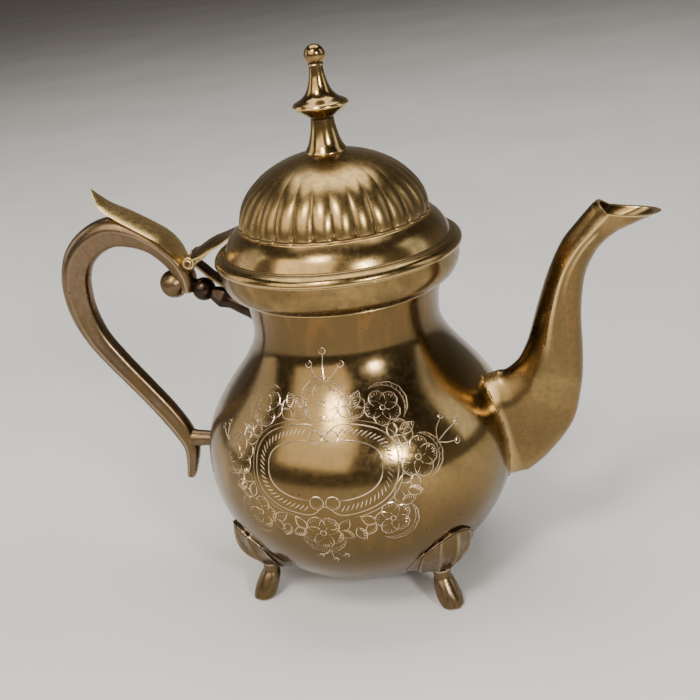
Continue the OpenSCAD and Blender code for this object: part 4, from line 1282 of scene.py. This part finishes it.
class TEAPOT_OT_handle(Operator):
    """Cast S handle with its scroll, thumb leaf, bead arm and lug"""
    bl_idname = "teapot.handle"
    bl_label = "Handle"

    def execute(self, context):
        size, own = Millimetres(context.scene.teapot_body), Millimetres(context.scene.teapot_handle)
        look = context.scene.teapot_brass
        self.bar(size, own, look)
        self.leaf(size, own, look)
        self.arm(size, own, look)
        self.lug(size, own, look)
        return {"FINISHED"}

    def bar(self, size, own, look):
        section = HANDLE_HALF + [[x, -y] for x, y in HANDLE_HALF[-2:0:-1]]
        sketch = Sketch().loft(bar_rings(size, own.lug_height, HANDLE_LINE, own.half_depth, section, 9))
        ball = handle_place(size, own.lug_height, SCROLL_AT)

        def volute(about):
            """A spiral groove on both cheeks of the scroll."""
            flat = np.hypot(about[..., 0], about[..., 2])
            turn = np.arctan2(about[..., 2], about[..., 0]) % (2 * math.pi)
            groove = 0
            for lap in (0, 1):
                spiral = 1.0 + 0.38 * (turn + 2 * math.pi * lap)
                groove = groove + np.exp(-((flat - spiral) / 0.42) ** 2)
            return about * (1 - 0.018 * np.clip(groove, 0, 1))[..., None]

        sketch.ball([ball[0], 0, ball[1]], own.scroll_radius, 64, volute)
        material = brass("handle_brass", look.copper, look.tarnish, rough=0.24, cover=0.45, patch_scale=45,
                         streaks=0.15, pits=0.15, pit_spacing=420, mottle=0.4, wear=0.55, grain=0.008,
                         bright=look.pale)
        finish_piece("handle", sketch, material, replaces=["handle"], sharp=40, edge=0.9,
                     groove=1.0)

    def leaf(self, size, own, look):
        across = np.sin(np.linspace(-math.pi / 2, math.pi / 2, 19))
        top = [[0.5 * (1 - abs(y) ** 2.6), y] for y in across]
        bottom = [[-0.5 * (1 - abs(y) ** 2.6), y] for y in across[::-1][1:-1]]
        rings = bar_rings(size, own.lug_height, LEAF_LINE, own.leaf_half_width, top + bottom, 10)
        material = brass("leaf_brass", look.rubbed, look.clean, rough=0.24, cover=0.28, patch_scale=60,
                         pits=0.1, mottle=0.12, wear=0.4, grain=0.004)
        finish_piece("thumb_leaf", Sketch().loft(rings), material, replaces=["thumb_leaf"],
                     sharp=50, edge=0.7)

    def arm(self, size, own, look):
        head = handle_place(size, own.lug_height, ARM_HEAD)
        foot = [-(size.neck_radius - ARM_SUNK), size.collar_foot - ARM_DROP]
        length = math.hypot(foot[0] - head[0], foot[1] - head[1])
        turn = np.radians(np.arange(-56, 57, 8))
        ball = np.stack([4.9 * np.cos(turn), 8.5 + 4.9 * np.sin(turn)], axis=1)
        bead = [[3.0, 13.2], [3.3, 13.8], [3.9, 15.2], [4.45, 16.8], [4.6, 17.5], [4.45, 18.3], [3.9, 20.2],
                [3.5, 21.2], [3.45, 22]]
        flare = [[3.6, 23.4], [3.75, 25], [4.0, length - 6], [4.3, length - 4.4], [4.8, length - 2.6],
                 [5, length]]
        outline = np.vstack([[[2.4, 2], [2.6, 4]], ball, bead, flare])
        rings = stem([head[0], 0, head[1]], [foot[0], 0, foot[1]], outline, 48, 7, (13.5, 21))
        material = brass("burnt_brass", look.burnt, look.soot_and_shade, rough=0.24, cover=0.5, patch_scale=90,
                         pits=0.2, pit_spacing=600, mottle=0.5, wear=0.9, grain=0.03, bright=look.copper)
        sketch = Sketch().loft(kept_outside(size, rings, 0.4))
        finish_piece("upper_arm", sketch, material, replaces=["upper_arm"], sharp=24, edge=0.5,
                     groove=1.0)

    def lug(self, size, own, look):
        end = handle_place(size, own.lug_height, LUG_END)
        radius = (LUG_HIGH.z - LUG_LOW.z) / 2
        length = -end[0] - size.belly_radius + 4
        outline = spline([[radius - 0.6, 0], [radius - 0.1, 0.5], [radius, 1.6], [radius - 0.35, 4],
                          [radius - 0.6, length - 7], [radius - 0.45, length - 4.5], [radius, length - 2.5],
                          [radius, length]], 5)
        rings = stem([end[0], 0, end[1]], [end[0] + length, 0, end[1]], outline, 40)
        material = brass("lug_brass", look.copper, look.tarnish, rough=0.26, cover=0.5, patch_scale=80,
                         pits=0.2, pit_spacing=500, mottle=0.5, grain=0.02)
        finish_piece("lower_lug", Sketch().loft(kept_outside(size, rings, 0.4)), material,
                     replaces=["lower_lug"], edge=0.6, groove=1.0)


# ---------- feet ----------

# Rows of the shell from its lip down to the leg: share of the half width, stand-off from
# the body's skin, height from the lip
SHELL_ROWS = [
    [0.9, 0.1, 0], [0.94, 1.3, -0.5], [0.99, 3, -2.6], [0.97, 5.8, -8], [0.84, 8, -13.8], [0.6, 9, -19.6],
    [0.3, 8, -23.8],
]
SHELL_DROOP = 11      # how much lower the shell is at its sides than in its middle
LEG_TOP_HEIGHT = 15.5
LEG_TOP_OFF = 5.7     # stand-off of the leg's top from the body's skin
# Stations of the leg: share of the way out from its top to the sole, height, half widths out and across
LEG_STATIONS = [
    [0, 15.5, 3.2, 3.6], [0.08, 12, 3.8, 4], [0.38, 8, 4.6, 4.8], [0.75, 4, 5, 5.2], [1, 1, 4.6, 4.6],
    [1.04, 0.4, 4, 4],
]


class TEAPOT_OT_feet(Operator):
    """Four cast feet: a scalloped shell on the belly and a short leg with three toes"""
    bl_idname = "teapot.feet"
    bl_label = "Feet"

    def execute(self, context):
        look = context.scene.teapot_brass
        material = brass("foot_brass", look.copper, look.tarnish, rough=0.22, cover=0.5, patch_scale=70,
                         pits=0.15, pit_spacing=500, mottle=0.4, wear=0.9, grain=0.012, bright=look.pale)
        size, own = Millimetres(context.scene.teapot_body), Millimetres(context.scene.teapot_feet)
        angle = own.group.azimuth
        places = {"foot_front_right": -angle, "foot_front_left": angle - math.pi,
                  "foot_rear_left": math.pi - angle, "foot_rear_right": angle}
        for name, turn in places.items():
            sketch = Sketch()
            for rings in (self.shell(size, own), self.leg(size, own), self.pad(own)):
                x, y, z = rings[..., 0], rings[..., 1], rings[..., 2]
                sketch.loft(np.stack([x * math.cos(turn) - y * math.sin(turn),
                                      x * math.sin(turn) + y * math.cos(turn), z], axis=-1))
            finish_piece(name, sketch, material, replaces=[name], sharp=36, edge=0.7,
                         groove=1.3)
        return {"FINISHED"}

    def shell(self, size, own):
        """A scalloped bowl whose back lies just inside the body's skin."""
        ribs = own.group.ribs
        fine = 16      # steps across each hollow
        turn = np.linspace(-math.pi / 2, math.pi / 2, ribs * fine + 1)
        cell = (np.arange(len(turn)) / fine) % 1
        hollow = 1 - np.abs(2 * cell - 1) ** 4
        rows = spline(SHELL_ROWS, 9)
        rings = []
        for k, (share, off, drop) in enumerate(rows):
            wide = share * own.shell_half_width
            down = k / (len(rows) - 1)
            depth = own.rib_height * smoothstep(down, 0.10, 0.24) * (1 - 0.8 * smoothstep(down, 0.6, 1))
            rim = 0.35 * math.exp(-((down - 0.13) / 0.04) ** 2)
            shrink = 1 - depth * hollow / 8
            y = wide * np.sin(turn) * (1 - depth * hollow / 22)
            stand = (off + rim) * np.cos(turn) * shrink
            high = own.shell_top + drop + 0.7 * (hollow - 1) * (1 - smoothstep(down, 0, 0.25))
            back = np.array([wide * j / 3 for j in (2, 1, 0, -1, -2)])
            y, stand = np.concatenate([y, back]), np.concatenate([stand, back * 0 - 0.1])
            high = np.concatenate([high, back * 0 + own.shell_top + drop])
            low = high - SHELL_DROOP * (y / own.shell_half_width) ** 2
            rings.append(np.stack([np.sqrt(body_radius(size, low) ** 2 - y ** 2) + stand, y, low], axis=1))
        return np.array(rings)

    def leg(self, size, own):
        """A drop that runs out to three toes."""
        turn = np.linspace(0, 2 * math.pi, 48, endpoint=False)
        apart = np.abs((turn + math.pi) % (2 * math.pi) - math.pi)
        top = float(body_radius(size, LEG_TOP_HEIGHT)) + LEG_TOP_OFF
        rings = []
        for share, height, out, across in spline(LEG_STATIONS, 7):
            toes = 0.10 * smoothstep(share, 0.45, 0.85) * np.exp(-((apart - 0.5) / 0.16) ** 2)
            waist = 1 - 0.10 * math.exp(-((height - 12.5) / 1.4) ** 2)
            middle = top + share * (own.ring_radius - top)
            rings.append(np.stack([middle + out * waist * (1 - toes) * np.cos(turn),
                                   across * waist * (1 - toes) * np.sin(turn), height + 0 * turn], axis=1))
        return np.array(rings)

    def pad(self, own):
        """The flat round sole under the toes."""
        turn = np.linspace(0, 2 * math.pi, 40, endpoint=False)
        rows = [[own.sole_radius - 0.5, 0], [own.sole_radius - 0.1, 0.12], [own.sole_radius, 0.5],
                [own.sole_radius, 3]]
        x, y = np.cos(turn), np.sin(turn)
        return np.array([np.stack([own.ring_radius + r * x, r * y, z + 0 * turn], axis=1) for r, z in rows])


# ---------- hinge ----------

MID_KNUCKLE, SIDE_KNUCKLE, KNUCKLE_GAP = 7, 5, 0.3      # lengths along the pin
KNUCKLE_R, PIN_R = 2.6, 1.2


def knuckle(near, far, outer, bore, turns=32):
    """A short tube along Y with rounded rims."""
    outline = filleted([[bore, near], [outer, near], [outer, far], [bore, far]], 0.35, 3)
    turn = np.linspace(0, 2 * math.pi, turns, endpoint=False)[:, None]
    x = PIN_PLACE.x + outline[None, :, 0] * np.cos(turn)
    z = PIN_PLACE.z + outline[None, :, 0] * np.sin(turn)
    return np.stack([x, outline[None, :, 1] + 0 * turn, z], axis=-1)


def band(line, half_widths, sheet, crowns=0.0, columns=17):
    """Rings of a bent strip of sheet along [x, z], with rounded long edges and a crowned middle."""
    line = np.asarray(line, float)
    go = directions(line)
    up = np.stack([-go[:, 1], go[:, 0]], axis=1)
    share = np.linspace(-1, 1, columns)
    thin = 1 - 0.55 * np.abs(share) ** 8
    rings = []
    for place, way, half, crown in zip(line, up, half_widths, crowns + 0 * line[:, 0]):
        bow = crown * (np.cos(share * math.pi / 2) - 1)
        over = place + way * (bow - 0.5 * sheet * (1 - thin))[:, None]
        under = place + way * (bow - sheet + 0.5 * sheet * (1 - thin))[:, None]
        y = half * share
        top = np.stack([over[:, 0], y, over[:, 1]], axis=1)
        bottom = np.stack([under[:, 0], y, under[:, 1]], axis=1)[::-1]
        rings.append(np.vstack([top, bottom]))
    return np.array(rings)


class TEAPOT_OT_hinge(Operator):
    """Strap on the neck, pin, and the plate on the lid with its two knuckles"""
    bl_idname = "teapot.hinge"
    bl_label = "Hinge"

    def execute(self, context):
        size, look = Millimetres(context.scene.teapot_body), context.scene.teapot_brass
        dark = brass("hinge_brass", look.tarnish, look.soot_and_shade, rough=0.26, cover=0.45, patch_scale=80, pits=0.3,
                     pit_spacing=500, mottle=0.5, grain=0.02)
        plate = brass("hinge_plate_brass", look.clean, look.tarnish, rough=0.2, cover=0.5, patch_scale=60,
                      pits=0.3, pit_spacing=400, mottle=0.35, grain=0.008)
        self.strap(size, dark)
        self.pin(dark)
        self.plate(plate)
        return {"FINISHED"}

    def strap(self, size, material):
        x, z, thick = PIN_PLACE.x, PIN_PLACE.z, 1.8
        sole = size.collar_foot - thick / 2 - 0.5
        neck = size.neck_radius + size.neck_flare
        line = spline([[x - 1.5, z - 1.2], [x + 1.6, z - 3.6], [x + 7, z - 8.6], [-(neck + 5.5), sole - 0.3],
                       [-(neck - 0.9), sole]], 8)
        line = shifted(line, thick / 2)
        half = MID_KNUCKLE / 2 + 0 * line[:, 0]
        sketch = Sketch().loft(band(line, half, thick))
        tube = knuckle(-MID_KNUCKLE / 2, MID_KNUCKLE / 2, KNUCKLE_R, PIN_R)
        sketch.add(tube, grid(*tube.shape[:2], wrap_rows=True))
        finish_piece("hinge_strap", sketch, material, replaces=["hinge_strap"], edge=0.5)

    def pin(self, material):
        half = MID_KNUCKLE / 2 + KNUCKLE_GAP + SIDE_KNUCKLE + KNUCKLE_GAP
        head = [[1.65, half], [1.7, half + 0.12], [1.55, half + 0.36], [1.1, half + 0.54], [0.05, half + 0.6]]
        outline = [[r, -y] for r, y in head[::-1]] + [[PIN_R, -half], [PIN_R, half]] + head
        place = [PIN_PLACE.x, 0, PIN_PLACE.z]
        turn = np.linspace(0, 2 * math.pi, 32, endpoint=False)
        rings = [np.stack([place[0] + r * np.cos(turn), y + 0 * turn, place[2] + r * np.sin(turn)], axis=1)
                 for r, y in outline]
        finish_piece("hinge_pin", Sketch().loft(rings), material, replaces=["hinge_pin"],
                     edge=0.5)

    def plate(self, material):
        """A crowned sheet from the knuckles to the lid's shoulder, hollow underneath."""
        x, z = PIN_PLACE.x, PIN_PLACE.z
        top = spline([[x - 0.6, z + KNUCKLE_R - 0.1], [x + 4, z + 5.6], [x + 9, z + 8.4], [x + 15, z + 10.4],
                      [x + 19.6, z + 12]], 9)
        full = MID_KNUCKLE / 2 + KNUCKLE_GAP + SIDE_KNUCKLE
        along = np.linspace(0, 1, len(top))
        half = full + 0.6 * np.sin(math.pi * along) - 0.5 * smoothstep(along, 0.85, 1)
        crown = 0.5 + 2.6 * np.sin(math.pi * along ** 0.8)
        sketch = Sketch()
        body = band(top, half, 1.3, crown, columns=33)
        room = (np.abs(body[..., 1]) < MID_KNUCKLE / 2 + KNUCKLE_GAP) & (body[..., 0] < x + 3.8)
        near = np.hypot(body[..., 0] - x, body[..., 2] - z)
        grow = np.where(room, np.maximum(1, (KNUCKLE_R + 0.9) / np.maximum(near, 0.1)), 1)
        body[..., 0] = x + (body[..., 0] - x) * grow
        body[..., 2] = z + (body[..., 2] - z) * grow
        sketch.loft(body)
        for side in (-1, 1):
            near, far = side * (MID_KNUCKLE / 2 + KNUCKLE_GAP), side * full
            tube = knuckle(min(near, far), max(near, far), KNUCKLE_R, PIN_R + 0.05)
            sketch.add(tube, grid(*tube.shape[:2], wrap_rows=True))
        finish_piece("lid_leaf", sketch, material, "lid", ["lid_leaf"], edge=0.5)


# ---------- pieces that keep their CAD shape ----------

class TEAPOT_OT_fittings(Operator):
    """Surfaces for the fittings that keep their CAD shape"""
    bl_idname = "teapot.fittings"
    bl_label = "Fittings"

    def execute(self, context):
        look = context.scene.teapot_brass
        inner = brass("inner_brass", look.clean, look.tarnish, rough=0.26, cover=0.55, patch_scale=60,
                      pits=0.25, pit_spacing=420, mottle=0.4)
        disc = brass("base_brass", look.clean, look.tarnish, rough=0.3, cover=0.6, patch_scale=50, pits=0.3,
                     pit_spacing=380, mottle=0.45, grain=0.01)
        finishes = {"spout_strainer": inner, "lid_bezel": inner, "finial_washer": inner, "finial_nut": inner,
                    "base_disc": disc}
        for node, material in finishes.items():
            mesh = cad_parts[node].data
            mesh.materials.clear()
            mesh.materials.append(material)
        return {"FINISHED"}


# ---------- add-on ----------

STEPS = [
    TEAPOT_OT_stage, TEAPOT_OT_body, TEAPOT_OT_engraving, TEAPOT_OT_collar, TEAPOT_OT_spout, TEAPOT_OT_handle,
    TEAPOT_OT_feet, TEAPOT_OT_hinge, TEAPOT_OT_lid_brim, TEAPOT_OT_lid_dome, TEAPOT_OT_finial,
    TEAPOT_OT_fittings,
]
GROUP_PROPERTIES = {
    "teapot_body": TeapotBody, "teapot_engraving": TeapotEngraving, "teapot_lid": TeapotLid,
    "teapot_handle": TeapotHandle, "teapot_feet": TeapotFeet, "teapot_brass": TeapotBrass,
    "teapot_studio": TeapotStudio,
}


class TEAPOT_PT_panel(Panel):
    """Lists the steps of the teapot"""
    bl_idname = "TEAPOT_PT_panel"
    bl_label = "Footed brass teapot"
    bl_space_type = "VIEW_3D"
    bl_region_type = "UI"
    bl_category = "Teapot"

    def draw(self, context):
        for step in STEPS:
            self.layout.operator(step.bl_idname)


def register():
    for name, group in GROUP_PROPERTIES.items():
        bpy.utils.register_class(group)
        setattr(bpy.types.Scene, name, PointerProperty(type=group))
    for item in STEPS + [TEAPOT_PT_panel]:
        bpy.utils.register_class(item)


def unregister():
    for item in [TEAPOT_PT_panel] + STEPS[::-1]:
        bpy.utils.unregister_class(item)
    for name, group in GROUP_PROPERTIES.items():
        delattr(bpy.types.Scene, name)
        bpy.utils.unregister_class(group)


def main():
    register()
    for step in STEPS:
        group, name = step.bl_idname.split(".")
        getattr(getattr(bpy.ops, group), name)()


if __name__ == "__main__":
    main()
